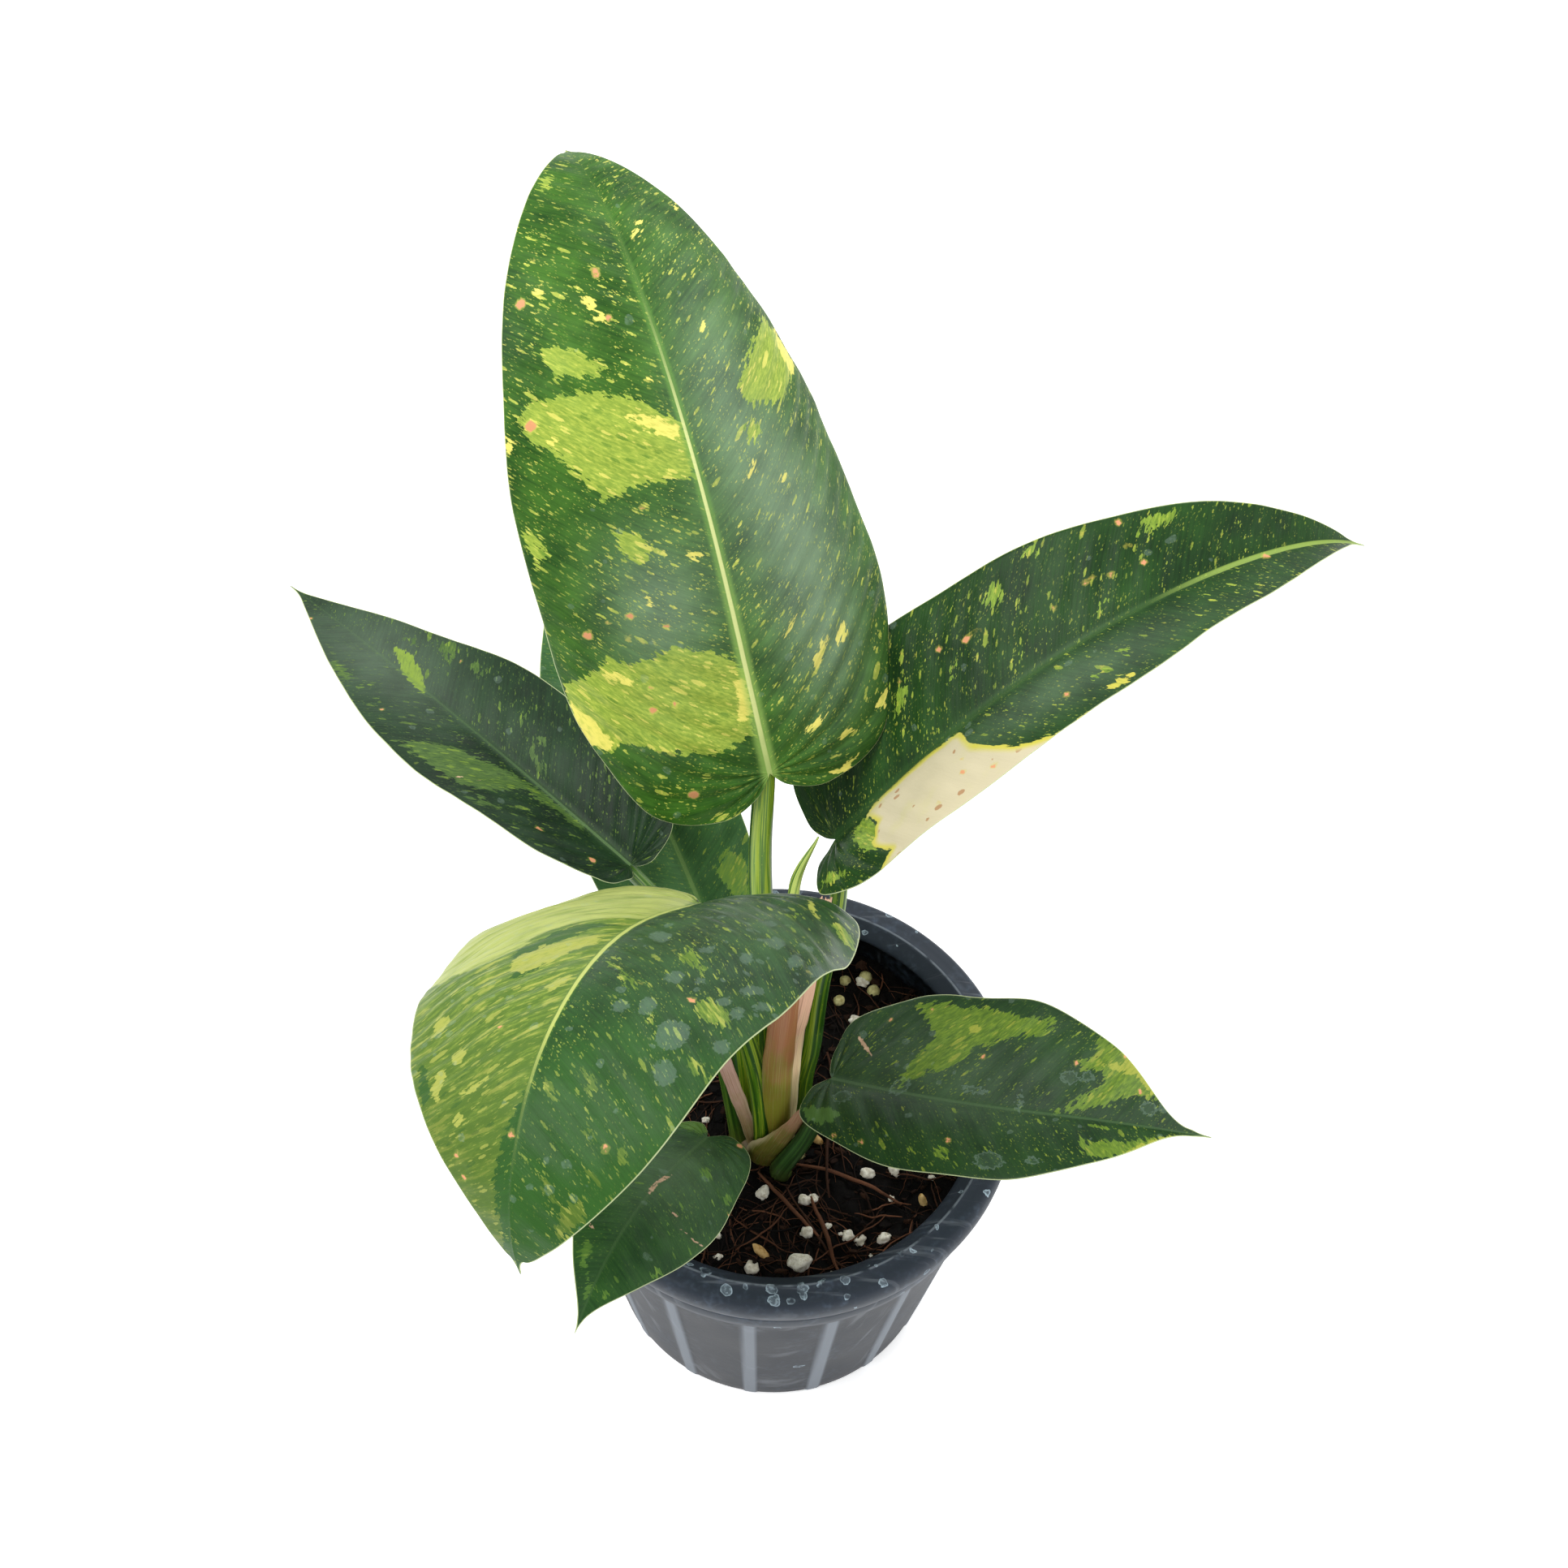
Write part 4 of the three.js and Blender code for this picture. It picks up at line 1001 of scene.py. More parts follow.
def painted_sheen_at(x, y, ovals):
    """How strong the painted sheen is, the gloss of the lights painted into the colour. Each oval fades out
    and has its strength last.
    """
    total = np.zeros(x.shape)
    for *oval, strength in ovals:
        along, across = oval_place(x, y, *oval)
        total += strength * np.exp(-(along**2) - across**2)
    return total


def scratch_oval(ax, ay, bx, by):
    """A thin oval round a scratch from one place to another."""
    half = math.hypot(bx - ax, by - ay) / 2
    return (ax + bx) / 2, (ay + by) / 2, half + 0.5, 0.75, math.degrees(math.atan2(by - ay, bx - ax))


def rib_half(leaf, x):
    """Half the width of the midrib's pale flank, in mm."""
    return leaf["rib"][0] * (1.15 - 0.85 * np.clip(x / leaf["length"], 0, 1))


def relief(leaf, x, y, margin, shift):
    """How far the face swells out of the smooth blade: channelled midrib, sunken side veins, soft ripples."""
    wide = rib_half(leaf, x)
    channel = RIDGE_HEIGHT * np.exp(-((y / (0.6 * wide)) ** 2))
    channel -= CHANNEL_DEPTH * np.exp(-((y / (1.5 * wide)) ** 2))
    reach, row = vein_place(x, y)
    off = np.abs((row + VEIN_GAP / 2) % VEIN_GAP - VEIN_GAP / 2)
    fade = np.clip(reach / 10, 0, 1) * np.clip(margin / 8, 0, 1)
    veins = -VEIN_DEPTH * (np.cos(2 * math.pi * off / VEIN_GAP) + np.exp(-((off / 1.6) ** 2))) * fade
    ripples = np.zeros(x.size)
    for i, (a, b) in enumerate(zip(x.flat, y.flat)):
        broad = noise.noise(Vector((a / 26 + shift, b / 22, 0)))
        ripples[i] = 0.9 * broad + 0.25 * noise.noise(Vector((a / 8 + shift, b / 8, 5)))
    ripples = ripples.reshape(x.shape)
    channel = channel * (1.05 - np.clip(x / leaf["length"], 0, 1))
    return channel + veins + ripples * np.clip(np.abs(y) / 14, 0, 1)


def blade_face(leaf, x, y, hand):
    """Points and outward directions of the blade's smooth face on one half. hand is 0 left, 1 right."""
    stations = x / leaf["length"]
    share = np.clip(stations, 0, 1)
    point, _, side, outward = midrib_of(leaf, stations)
    sign = 1 if hand == 0 else -1
    half = leaf["wide"][hand]
    b = np.abs(y) / half
    fold = np.radians(slide(leaf["fold"][hand], share))
    curl = np.radians(slide(leaf["curl"][hand], share))
    curl = np.where(np.abs(curl) < 0.001, 0.001, curl)
    across = half * (np.sin(fold + curl * b) - np.sin(fold)) / curl
    lift = -half * (np.cos(fold + curl * b) - np.cos(fold)) / curl
    height, count, phase = leaf["wave"]
    lift = lift + height * b * b * np.sin(2 * math.pi * (count * stations + phase + 0.3 * hand))
    slope = (fold + curl * b)[..., None]
    facing = outward * np.cos(slope) - sign * side * np.sin(slope)
    return point + sign * across[..., None] * side + lift[..., None] * outward, facing


def blade_grid(leaf, number):
    """A grid over the blade: flat places, how far in from the margin, the face and the way out of it."""
    length = leaf["length"]
    rows = int(1.3 * length / BLADE_SPACING)
    shares = np.linspace(0, 1, int(max(leaf["wide"]) / BLADE_SPACING) + 1)
    edge_x, edge_y = outline_of(leaf, rows + 1)[1:].T[..., None]
    root = np.maximum((edge_x - VEIN_SWEEP) / (1 - VEIN_SWEEP), 0)
    halves = []
    for hand, half in enumerate((leaf["wide"][0], -leaf["wide"][1])):
        x = (root + (edge_x - root) * shares) * length
        y = edge_y * shares * half
        margin = (1 - shares) * np.hypot(edge_y * half, (edge_x - root) * length)
        face, facing = blade_face(leaf, x, y, hand)
        face = face + relief(leaf, x, y, margin, 7.3 * number)[..., None] * facing
        halves.append((x, y, margin, face, facing))
    return [np.concatenate([left[:, :0:-1], right], axis=1) for left, right in zip(*halves)]


def sheet_faces(rows, wide):
    """Faces of a thin sheet: a grid of points for its front, as many again for its back, and its edge."""
    grid = np.arange(rows * wide).reshape(rows, wide)
    faces = []
    for a in grid[:-1, :-1].ravel().tolist():
        faces.append((a, a + 1, a + wide + 1, a + wide))
        faces.append(tuple(v + grid.size for v in (a, a + wide, a + wide + 1, a + 1)))
    rim = np.concatenate([grid[:, 0], grid[-1, 1:], grid[-2::-1, -1], grid[0, -2:0:-1]]).tolist()
    faces += [(a, b, b + grid.size, a + grid.size) for a, b in zip(rim, rim[1:] + rim[:1])]
    return faces


def petiole_line(leaf):
    """The petiole from the crown to the blade, then the rib sunk under the blade, with a radius all along."""
    foot = np.array([*leaf["foot"], FOOT_HEIGHT])
    point, ahead, _, outward = (v[0] for v in midrib_of(leaf, np.array([0.0])))
    high = leaf["petiole"][1]
    end = point - outward * (high + RIB_SINK)
    share = np.linspace(0, 1, STALK_STEPS)
    t = share[:, None]
    if "stem" in leaf:
        stalk = curve_through([foot, *leaf["stem"], end], STALK_STEPS)
    else:
        reach = np.linalg.norm(end - foot)
        rise = (end - foot) / reach + np.array([0, 0, 1])
        rise /= np.linalg.norm(rise)
        a, b, c, d = foot, foot + rise * reach / 3, end - ahead * reach / 3, end
        stalk = (1 - t) ** 3 * a + 3 * t * (1 - t) ** 2 * b + 3 * t**2 * (1 - t) * c + t**3 * d
    stations = np.linspace(*RIB_REACH, STALK_STEPS)
    under, _, _, out = midrib_of(leaf, stations)
    rib_radius = slide((high, RIB_TIP), stations**0.6)
    line = np.vstack([stalk, under - out * (rib_radius + RIB_SINK)[:, None]])

    # The bend where the petiole runs on as the rib is eased
    first, last = STALK_STEPS - 5, STALK_STEPS + 4
    for _ in range(5):
        beside = line[first - 1:last - 1] + line[first + 1:last + 1]
        line[first:last] = 0.5 * line[first:last] + 0.25 * beside
    stalk_radius = slide(leaf["petiole"], share) * (1 + FOOT_FLARE * np.exp(-((share / 0.08) ** 2)))
    return line, np.concatenate([stalk_radius, rib_radius])


def new_group(name, **numbers):
    """An empty node group that takes a Vector and numbers and puts out a Mask."""
    group = bpy.data.node_groups.new(name, "ShaderNodeTree")
    group.interface.new_socket(name="Vector", in_out="INPUT", socket_type="NodeSocketVector")
    for socket, usual in numbers.items():
        made = group.interface.new_socket(name=socket, in_out="INPUT", socket_type="NodeSocketFloat")
        made.default_value = usual
    group.interface.new_socket(name="Mask", in_out="OUTPUT", socket_type="NodeSocketFloat")
    given = group.nodes.new("NodeGroupInput").outputs
    mask = group.nodes.new("NodeGroupOutput").inputs["Mask"]
    return ShaderTree(group), given, mask


def make_flecks_group():
    """Flecks of pale tissue, drawn out along the side veins. Vector is the vein map."""
    tree, given, mask = new_group("Flecks", Scale=1.0, Stretch=0.4, Amount=0.2)
    parts = tree.put("SeparateXYZ", ("Vector", given["Vector"]))
    drawn = tree.put("CombineXYZ", ("X", tree.times(parts[0], given["Stretch"])), ("Y", parts[1]))[0]
    bent = tree.bend(given["Vector"], 14.0, (0.06, 0.08, 0), onto=drawn)
    cells = tree.put("TexVoronoi", ("Vector", bent), ("Scale", given["Scale"]))
    luck = tree.put("SeparateColor", ("Color", cells["Color"]))
    chosen = tree.maths("LESS_THAN", luck[0], given["Amount"])
    size = tree.scaled(luck[1], 0.3, 0.12)
    near = tree.step(tree.minus(size, cells["Distance"]), 0.0, 0.06)
    tree.join(tree.times(chosen, near), mask)
    return tree.base


def make_ragged_group():
    """Turns a smooth distance inside a marking, in mm, into a torn edge that follows the side veins."""
    tree, given, mask = new_group("Ragged edge", Inside=0.0, Tear=1.5, Softness=0.25)
    teeth = tree.strands(given["Vector"], (3.0, 6.0, 1), 3.0, 0.55)
    nudge = tree.times(tree.minus(teeth, 0.5), given["Tear"])
    torn = tree.scaled(nudge, 4.0, given["Inside"])
    tree.join(tree.step(torn, tree.times(given["Softness"], -1.0), given["Softness"]), mask)
    return tree.base


flecks = make_flecks_group()
ragged = make_ragged_group()


def make_blade_material(leaf):
    """The blade: green, splashed with lime, yellow and cream, with scars, dried water, a pale margin and
    painted sheen.
    """
    material, tree = new_material("Blade of " + leaf["name"])
    vein, flat = tree.chart("Vein"), tree.chart("Blade")
    dark, light = paint(*leaf["dark"]), paint(*leaf["light"])
    lime, gold = (paint(*c) for c in leaf["tint"])
    share = tree.read("share")
    lay, step, blend, scaled = tree.lay, tree.step, tree.blend, tree.scaled

    def torn(name, tear, softness=0.2):
        return tree.use(ragged, Inside=tree.read(name), Vector=vein, Tear=tear, Softness=softness)

    def dashes(scale, stretch, amount, chart=vein):
        return tree.use(flecks, Vector=chart, Scale=scale, Stretch=stretch, Amount=amount)

    cloud = tree.noise(flat, 0.6, 4.0, 0.55)
    streak = tree.strands(vein, (0.6, 9.0, 1), 5.0, 0.6)
    tone = tree.plus(scaled(cloud, 1.8, -0.6), scaled(streak, 1.3, -0.55))
    colour = blend(tone, dark, light)
    colour = lay(colour, step(share, 0.35, 0.95), leaf.get("tipward", 0), paint(50, 96, 28))

    # Painted sheen: the gloss of the lights, painted in as a grey-green over broad soft areas, most where it
    # is dark
    painted_sheen = tree.times(tree.read("painted_sheen"), scaled(streak, 0.4, 0.8), tree.plus(cloud, 0.5))
    colour = lay(colour, painted_sheen, 0.8, paint(138, 158, 136))

    # Flecks, from dust-fine specks to short dashes: the scale of each kind, how short it is, how many there
    # are, how strong they are where few stand together, and how much stronger in a crowd
    few, many = leaf["flecks"]
    crowd = step(tree.noise(flat, 0.5), 0.38, 0.62)
    goldness = step(tree.noise(flat, 6.0), 0.48, 0.66)
    tint = blend(goldness, blend(0.15, lime, gold), blend(0.7, lime, gold))
    for scale, short, amount, thin, more in (
        (16.0, 0.6, few, 0.15, 0.35),
        (11.0, 0.42, 0.24 * many, 0.4, 0.4),
        (6.5, 0.36, 0.15 * many, 0.5, 0.4),
        (3.4, 0.42, 0.07 * many, 0.6, 0.3),
    ):
        colour = lay(colour, dashes(scale, short, amount), scaled(crowd, more, thin), tint)

    # Lime sectors: lighter tissue with green and yellow threads left in it
    bands = tree.strands(vein, (0.7, 3.6, 1), 5.0, 0.55)
    threads = tree.strands(vein, (3.4, 10.0, 1), 3.0, 0.65)
    between = blend(0.45, lime, light)
    sector = blend(step(threads, 0.38, 0.6), between, lime)
    if leaf.get("streaks"):
        sector = lay(sector, step(bands, 0.53, 0.45), 0.8, blend(0.35, light, lime))
        sector = lay(sector, step(bands, 0.57, 0.62), 0.75, gold)
        # Painted shade: toward the tip the lime sector darkens to olive
        sector = lay(sector, step(share, 0.45, 0.95), 0.75, paint(66, 92, 26))
    else:
        sector = lay(sector, step(bands, 0.42, 0.34), 0.6, between)
    sector = lay(sector, step(threads, 0.58, 0.7), 0.45, gold)
    for scale, short, amount, strength, over in (
        (6.5, 0.34, 0.45, 0.55, gold), (3.4, 0.34, 0.3, 0.55, gold), (5.0, 0.36, 0.3, 0.5, light),
    ):
        sector = lay(sector, dashes(scale, short, amount), strength, over)
    in_lime = torn("lime", 2.3, 0.16)
    colour = blend(in_lime, colour, sector)

    # Patches left green in the lime, then straw, yellow and cream tissue
    colour = lay(colour, torn("green", 1.5), 0.85, paint(*leaf.get("dull", leaf["light"])))
    straw = blend(step(bands, 0.2, 0.55), lime, paint(162, 170, 94))
    colour = lay(colour, torn("pale", 1.6, 0.8), 0.85, straw)
    yellow = blend(step(threads, 0.3, 0.55), blend(0.5, lime, gold), gold)
    colour = lay(colour, torn("yellow", 1.4), 0.92, yellow)
    in_cream = tree.read("cream")
    cream = blend(step(in_cream, 0.5, 3.0), gold, paint(190, 180, 150))
    cream = lay(cream, step(cloud, 0.5, 0.7), 0.4, paint(190, 184, 128))
    colour = blend(torn("cream", 0.6), colour, cream)

    # The midrib is paler than the blade, and some leaves have a thin bright crest on it
    rib = blend(step(share, 0.1, 0.5), *(paint(*c) for c in leaf["rib"][1:]))
    flank = tree.times(step(tree.read("rib_away"), 1.0, 0.35), step(share, 0.95, 0.5))
    colour = lay(colour, flank, leaf.get("flank", 0.35), rib)
    crest = step(tree.maths("DIVIDE", tree.read("across"), tree.read("crest_half")), 1.15, 0.65)
    colour = lay(colour, crest, tree.read("crest_strength"), paint(*leaf["crest"][0]))
    # The painted sheen is laid again, paler, over the midrib and its crest
    colour = lay(colour, painted_sheen, 0.3, paint(150, 166, 146))

    # Scars: tan and corky. Scratches: thin, pinkish and dry
    wear = tree.noise(flat, 9.0, 3.0)
    scar = scaled(wear, 1.2, tree.minus(tree.read("scar"), 0.5))
    colour = lay(colour, step(scar, -0.55, -0.1), 0.3, gold)
    colour = lay(colour, step(scar, -0.1, 0.3), 0.9, paint(206, 140, 102))
    scratch = scaled(wear, 1.2, tree.minus(tree.read("scratch"), 0.6))
    dry = blend(wear, paint(150, 104, 78), paint(214, 184, 156))
    colour = lay(colour, step(scratch, -0.1, 0.15), 0.9, dry)
    if leaf.get("spots"):
        rust = tree.times(dashes(3.0, 0.8, 0.22, flat), step(in_cream, 1.0, 3.0))
        colour = lay(colour, rust, 0.7, paint(150, 98, 52))

    # Dried water leaves grey veils, a little sharper at their edge
    stain = scaled(wear, 3.2, tree.minus(tree.read("stain"), 1.7))
    fill, ring = leaf.get("veil", (0.16, 0.09))
    edge = tree.times(step(stain, -0.4, 0.0), step(stain, 0.7, 0.1))
    veil = scaled(edge, ring, tree.times(step(stain, -0.5, 1.0), fill))
    drops = dashes(2.4, 1.0, leaf.get("drops", 0.06), tree.bend(flat, 3.0, (0.2, 0.2, 0)))
    veil = tree.maths("MAXIMUM", veil, tree.times(drops, scaled(wear, 0.34, -0.04)))
    veil = tree.times(veil, scaled(threads, 0.8, 0.6))
    colour = blend(veil, colour, paint(140, 162, 150))

    # Margin and underside
    edge = leaf.get("edge", 0.34)
    colour = lay(colour, step(tree.read("margin"), edge, 0.4 * edge), 0.85, paint(190, 200, 150))
    under = tree.read("under")
    colour = lay(colour, under, 0.5, paint(96, 128, 70))

    grain = tree.noise(flat, 26.0)
    rough = scaled(under, 0.15, scaled(veil, 0.5, scaled(grain, 0.12, 0.4)))
    fine = tree.strands(vein, (1.0, 11.0, 1), 3.0)
    height = scaled(in_lime, 0.12, scaled(grain, 0.25, fine))
    tree.finish(colour, rough, height, 0.35, 0.0003, shine=0.16)
    return material


def make_petiole_material(name, dark, light, stripe, lean=0.5):
    """A petiole: green with lime and yellow lines down it. A lower lean gives more of them."""
    material, tree = new_material(name)
    wrap = tree.chart("Vein")
    broad = tree.strands(wrap, (12.0, 0.12, 1), 2.0)
    thin = tree.strands(wrap, (38.0, 0.35, 1), 3.0)
    colour = tree.blend(tree.step(broad, 0.34, 0.62), paint(*dark), paint(*light))
    lines = tree.step(tree.scaled(thin, 0.7, tree.times(broad, 0.6)), lean + 0.17, lean + 0.24)
    colour = tree.lay(colour, lines, 0.85, paint(*stripe))
    specks = tree.use(flecks, Vector=wrap, Scale=9.0, Stretch=2.4, Amount=0.12)
    colour = tree.lay(colour, specks, 0.5, paint(*stripe))
    colour = tree.lay(colour, tree.step(tree.read("foot"), 16.0, 0.0), 0.5, paint(96, 100, 44))
    tree.finish(colour, tree.scaled(thin, 0.14, 0.3), thin, 0.3, 0.0003)
    return material


def markings_of(leaf, x, y):
    """The numbers that the blade's material reads, at flat places on the blade."""
    share = x / leaf["length"]
    crest_at, crest_half, crest_strength = zip(*leaf["crest"][1:])
    scratches = [scratch_oval(*ends) for ends in leaf.get("scratches", [])]
    return dict(
        lime=mark(x, y, leaf["lime"], leaf.get("dabs", [])),
        green=mark(x, y, leaf.get("green", [])),
        yellow=mark(x, y, leaf.get("yellow", []), leaf.get("slivers", [])),
        pale=mark(x, y, leaf.get("pale", [])),
        cream=mark(x, y, leaf.get("cream", [])),
        scar=mark(x, y, ovals=[(cx, cy, size, size, 0) for cx, cy, size in leaf["scars"]]),
        scratch=mark(x, y, ovals=scratches),
        stain=mark(x, y, ovals=leaf.get("stains", [])),
        rib_away=np.abs(y) / rib_half(leaf, x),
        share=share,
        across=np.abs(y),
        crest_half=np.interp(share, crest_at, crest_half),
        crest_strength=np.interp(share, crest_at, crest_strength),
        painted_sheen=painted_sheen_at(x, y, leaf.get("painted_sheen", [])),
    )


def make_leaf(leaf, number):
    """Builds one leaf: both faces of its blade, the thin edge between, and the petiole with its rib."""
    x, y, margin, face, facing = blade_grid(leaf, number)
    thick = BLADE_THICKNESS * np.clip(margin / 1.2, 0.35, 1)
    under = face - facing * thick[..., None]
    line, radii = petiole_line(leaf)
    stalk, stalk_faces, around, along = tube(line, radii, STALK_SIDES)
    faces = sheet_faces(*x.shape)
    which = [0] * len(faces) + [1] * len(stalk_faces)
    count = x.size
    faces += [tuple(v + 2 * count for v in f) for f in stalk_faces]
    points = np.concatenate([face.reshape(-1, 3), under.reshape(-1, 3), stalk])
    petiole = make_petiole_material("Petiole of " + leaf["name"], *leaf.get("stalk", STALK_PAINTS))
    materials = [make_blade_material(leaf), petiole]
    piece = make_piece("philodendron_" + leaf["name"], points, faces, materials, which)

    def everywhere(on_blade, on_stalk=0.0):
        """Numbers for the blade's face, for its back and for the petiole."""
        return np.concatenate([on_blade, on_blade, np.broadcast_to(on_stalk, len(stalk))])

    # Each leaf has its own part of the maps, so that no two are flecked alike
    x, y, margin = x.ravel(), y.ravel(), margin.ravel()
    reach, row = vein_place(x, y)
    out = everywhere(reach + 400 * (y < 0), radii.mean() * around)
    give_map(piece, "Vein", out, everywhere(row, along + 50 * number))
    give_map(piece, "Blade", everywhere(x + 300 * number), everywhere(y))
    markings = dict(markings_of(leaf, x, y), margin=margin)
    give_values(piece, **{name: everywhere(numbers) for name, numbers in markings.items()})
    give_values(piece, under=np.repeat([0, 1, 0], [count, count, len(stalk)]))
    give_values(piece, foot=everywhere(np.full(count, 99.0), along))
    stand_for(piece, leaf["name"])


for number, leaf in enumerate(LEAVES):
    make_leaf(leaf, number)


# New leaf: the next leaf, still rolled into a slim spike, so it shows as a tube with one turning seam.
# Its knots are x, y, z and radius.
SPIKE_KNOTS = [
    (1, -9, 102, 3.2), (0.8, -6.5, 125, 3.6), (1.2, 4, 160, 3.4), (1.6, 18, 190, 2.6), (2.8, 31, 211, 1.9),
    (9.4, 35.5, 232, 0.35),
]
SPIKE_STEPS = 90
SPIKE_SIDES = 40
SEAM_TURN = 16


def make_new_leaf():
    """The rolled leaf: its radius grows all the way round to the seam, which winds up it."""
    values = curve_through(SPIKE_KNOTS, SPIKE_STEPS)
    centres, radii = values[:, :3], np.maximum(values[:, 3], 0.3)
    points, faces, around, along = tube(centres, radii, SPIKE_SIDES)
    middles = np.concatenate([np.repeat(centres, SPIKE_SIDES, axis=0), centres[:1], centres[-1:]])
    seam = (around - along / SEAM_TURN) / (2 * math.pi) % 1
    points = middles + (points - middles) * (0.86 + 0.16 * seam)[:, None]
    material = make_petiole_material("Rolled new leaf", (52, 96, 24), (112, 148, 48), (178, 192, 96), 0.46)
    piece = make_piece("rolled_new_leaf", points, faces, [material])
    give_map(piece, "Vein", 3 * around, along)
    give_values(piece, foot=along)
    stand_for(piece, "new_leaf")


make_new_leaf()


# Cataphylls: the thin sheaths that covered each new leaf, now pink, salmon or olive and drying at their
# edges. Each is a channel along a line. facing is where its closed side looks and hug how far round it goes,
# both in degrees, and turn_at is how far up low turns into high.
SHEATH_THICKNESS = 0.45
SHEATH_ROWS = 64
SHEATH_COLUMNS = 30

CATAPHYLLS = [
    dict(
        name="cataphyll_1", facing=255, hug=(110, 120), radii=(2.4, 3, 3.2, 3.2, 2.6), turn_at=(0.15, 0.75),
        path=[(-7, -12, 107.5), (-9.3, -10.5, 123.4), (-13, -8.5, 140), (-17.5, -5.5, 158), (-21, -3, 172)],
        low=(146, 128, 84), high=(196, 158, 142),
    ),
    dict(
        name="cataphyll_2", facing=272, hug=(190, 130), radii=(5, 5.2, 5, 4.8, 4), turn_at=(0.42, 0.92),
        path=[(-0.8, -9.5, 107.5), (-0.9, -10.3, 124), (-0.9, -8.8, 150), (-0.4, -5.5, 171), (1.4, 2, 197)],
        low=(122, 122, 26), high=(160, 104, 66),
    ),
    dict(
        name="cataphyll_3", facing=282, hug=(140, 100), radii=(3.8, 3.9, 4, 3.6, 2.4), turn_at=(0.15, 0.75),
        path=[(2, -8.4, 107.5), (2.5, -6.2, 140), (3.4, 0.5, 165.5), (6, 5.5, 181), (12, 27, 210)],
        low=(222, 208, 152), high=(238, 190, 160),
    ),
    dict(
        name="cataphyll_4", facing=285, hug=(210, 110), radii=(6.4, 6.2, 5, 3.6, 2.2), turn_at=(0.5, 0.98),
        path=[(-4, -12.5, 107.5), (-3, -13.8, 116), (0, -15, 124), (4, -15, 133), (8.2, -14, 143)],
        low=(96, 98, 26), high=(150, 112, 84),
    ),
]


def make_sheath_material(sheath):
    """Thin, ribbed, drying tissue. share is how far up the sheath, edge how near its free edge."""
    material, tree = new_material("Sheath of " + sheath["name"])
    wrap = tree.chart("Vein")
    ribs = tree.strands(wrap, (26.0, 0.5, 1), 3.0)
    share = tree.read("share")
    height = tree.scaled(tree.noise(wrap, 1.6, 3.0), 0.6, tree.minus(share, 0.3))
    colour = tree.blend(tree.step(height, *sheath["turn_at"]), paint(*sheath["low"]), paint(*sheath["high"]))
    colour = tree.lay(colour, tree.step(ribs, 0.5, 0.62), 0.4, paint(140, 88, 60))
    colour = tree.lay(colour, tree.step(ribs, 0.44, 0.34), 0.25, paint(196, 178, 130))
    dry = tree.times(tree.step(tree.read("edge"), 0.7, 0.95), tree.step(share, 0.75, 0.35))
    colour = tree.lay(colour, dry, 0.6, paint(206, 188, 152))
    tree.finish(colour, tree.scaled(ribs, 0.2, 0.42), ribs, 0.4, 0.0003)
    return material


def make_cataphyll(sheath, number):
    """One sheath: a channel that hugs its line, with frayed edges and a torn top."""
    values = curve_through([(*p, r) for p, r in zip(sheath["path"], sheath["radii"])], SHEATH_ROWS)
    steps = np.gradient(values[:, :3], axis=0)
    steps /= np.linalg.norm(steps, axis=1)[:, None]
    facing = math.radians(sheath["facing"])
    toward = np.array([math.cos(facing), math.sin(facing), 0])
    outer, inner, shares, edges, wraps = [], [], [], [], []
    for i, (ahead, share) in enumerate(zip(steps, np.linspace(0, 1, SHEATH_ROWS))):
        front = toward - ahead * toward.dot(ahead)
        front /= np.linalg.norm(front)
        side = np.cross(ahead, front)
        hug = math.radians(slide(sheath["hug"], share))
        for across in np.linspace(-0.5, 0.5, SHEATH_COLUMNS + 1):
            edge = 2 * abs(across)
            frayed = 1 + 0.12 * noise.noise(Vector((share * 9, 5 * np.sign(across), number))) * edge
            turn = hug * across * frayed
            ray = front * math.cos(turn) + side * math.sin(turn)
            ripple = 0.2 * noise.noise(Vector((share * 12, across * 5, 3 + number)))
            radius = values[i, 3] + 0.5 * edge**4 * share + ripple
            drop = 2.5 * share**8 * noise.noise(Vector((across * 9, number, 1)))
            centre = values[i, :3] - ahead * drop
            outer.append(centre + ray * radius)
            inner.append(centre + ray * (radius - SHEATH_THICKNESS))
            shares.append(share)
            edges.append(edge)
            wraps.append(radius * turn)
    faces = sheet_faces(SHEATH_ROWS, SHEATH_COLUMNS + 1)
    piece = make_piece("sheath_" + sheath["name"], outer + inner, faces, [make_sheath_material(sheath)])
    give_map(piece, "Vein", 2 * wraps, [share * 50 for share in 2 * shares])
    give_values(piece, share=2 * shares, edge=2 * edges)
    stand_for(piece, sheath["name"])


for number, sheath in enumerate(CATAPHYLLS):
    make_cataphyll(sheath, number)


# Floor: a plain, almost white studio sweep that the pot stands on.
FLOOR_HALF = 6000


def make_floor():
    """The floor glows a little, so that it comes out as white as the walls of the room."""
    material, tree = new_material("White studio floor")
    inputs = tree.base.nodes["Principled BSDF"].inputs
    inputs["Base Color"].default_value = (0.93, 0.93, 0.93, 1)
    inputs["Roughness"].default_value = 0.8
    inputs["Emission Color"].default_value = (1, 1, 1, 1)
    inputs["Emission Strength"].default_value = 0.4
    corners = [(x * FLOOR_HALF, y * FLOOR_HALF, 0) for x, y in ((-1, -1), (1, -1), (1, 1), (-1, 1))]
    floor = make_piece("studio_floor", corners, [(0, 1, 2, 3)], [material])


make_floor()


# Light: a white room with a large soft box over the left shoulder, one behind and a weaker one on the right.
PLANT_MIDDLE = Vector((0, 0.02, 0.2))


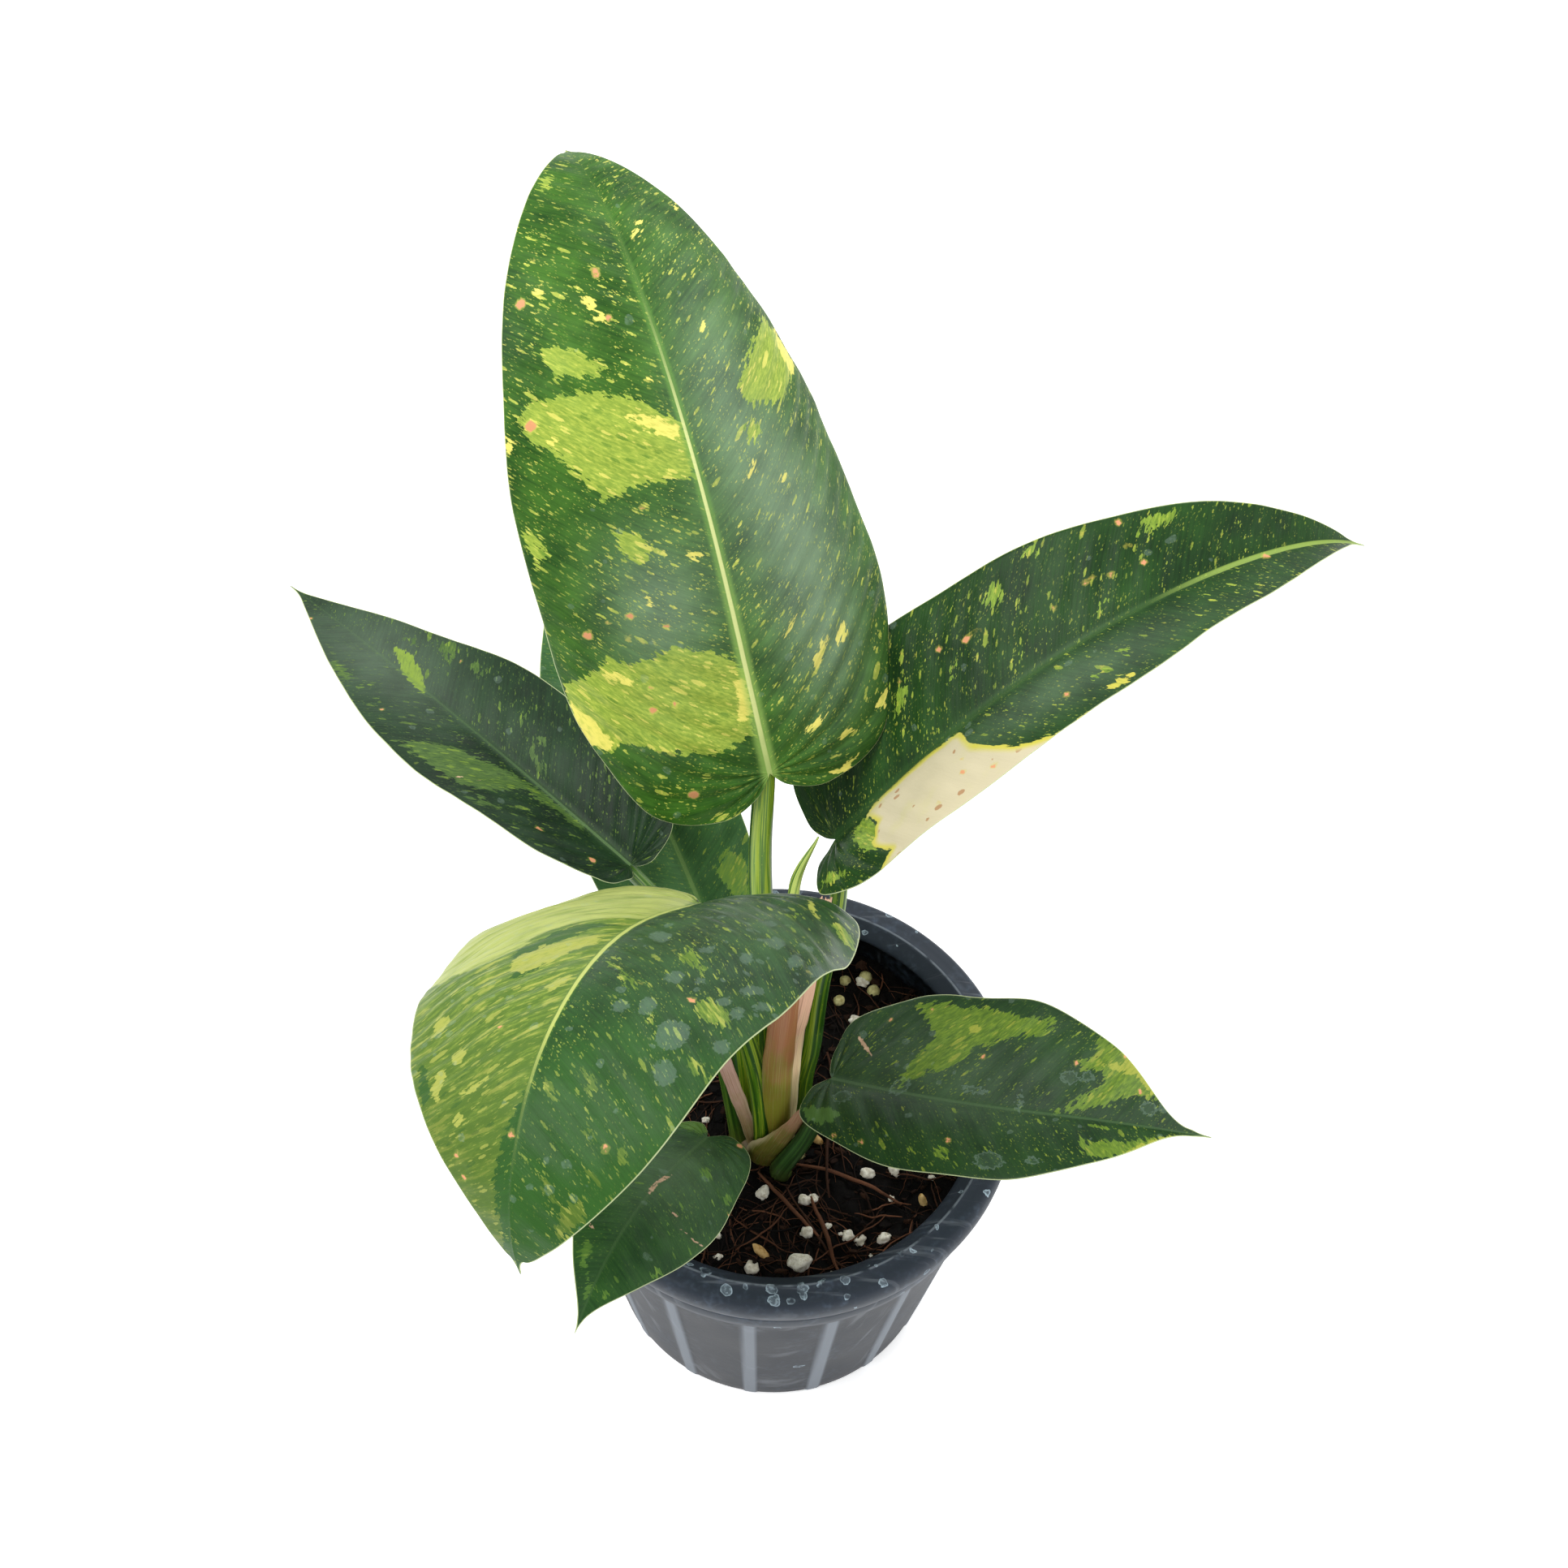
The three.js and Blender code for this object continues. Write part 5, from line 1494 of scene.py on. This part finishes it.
def add_softbox(name, place, size, power):
    """A soft box at a place in metres, aimed at the plant."""
    lamp = bpy.data.lights.new(name, "AREA")
    lamp.shape = "RECTANGLE"
    lamp.size, lamp.size_y = size
    lamp.energy = power
    holder = bpy.data.objects.new(name, lamp)
    holder.location = place
    holder.rotation_euler = (PLANT_MIDDLE - Vector(place)).to_track_quat("-Z", "Y").to_euler()
    bpy.context.scene.collection.objects.link(holder)


world = bpy.data.worlds.new("White studio")
bpy.context.scene.world = world
world.use_nodes = True
room = world.node_tree.nodes["Background"].inputs
room["Color"].default_value = (0.97, 0.985, 1.0, 1)
room["Strength"].default_value = 0.75
add_softbox("Key softbox", (-0.7, -0.2, 1.6), (1.2, 1.2), 26)
add_softbox("Back softbox", (0.7, 1.2, 1.3), (1.0, 0.8), 14)
add_softbox("Fill softbox", (1.3, -0.4, 0.9), (1.2, 1.2), 6)


# Camera: the photo looks down at the pot from in front, turned a little about its own axis.
CAMERA_ELEVATION = math.radians(57.3)
CAMERA_ROLL = math.radians(2.1)
CAMERA_PLACE = (-0.002036, -0.503983, 1.10268)
IMAGE_SIDE = 1932
FOCAL_PIXELS = 4000


def add_camera():
    """The camera's place is in metres."""
    ahead = Vector((0, math.cos(CAMERA_ELEVATION), -math.sin(CAMERA_ELEVATION)))
    level = Vector((1, 0, 0))
    up = level.cross(ahead)
    right = math.cos(CAMERA_ROLL) * level + math.sin(CAMERA_ROLL) * up
    top = -math.sin(CAMERA_ROLL) * level + math.cos(CAMERA_ROLL) * up
    camera = bpy.data.cameras.new("Photo camera")
    camera.sensor_width = 36
    camera.lens = FOCAL_PIXELS / IMAGE_SIDE * camera.sensor_width
    camera.clip_start = 0.05
    holder = bpy.data.objects.new("Photo camera", camera)
    axes = Matrix((right, top, -ahead)).transposed()
    holder.matrix_world = Matrix.Translation(CAMERA_PLACE) @ axes.to_4x4()
    bpy.context.scene.collection.objects.link(holder)
    bpy.context.scene.camera = holder


add_camera()
bpy.context.scene.view_settings.view_transform = "Standard"
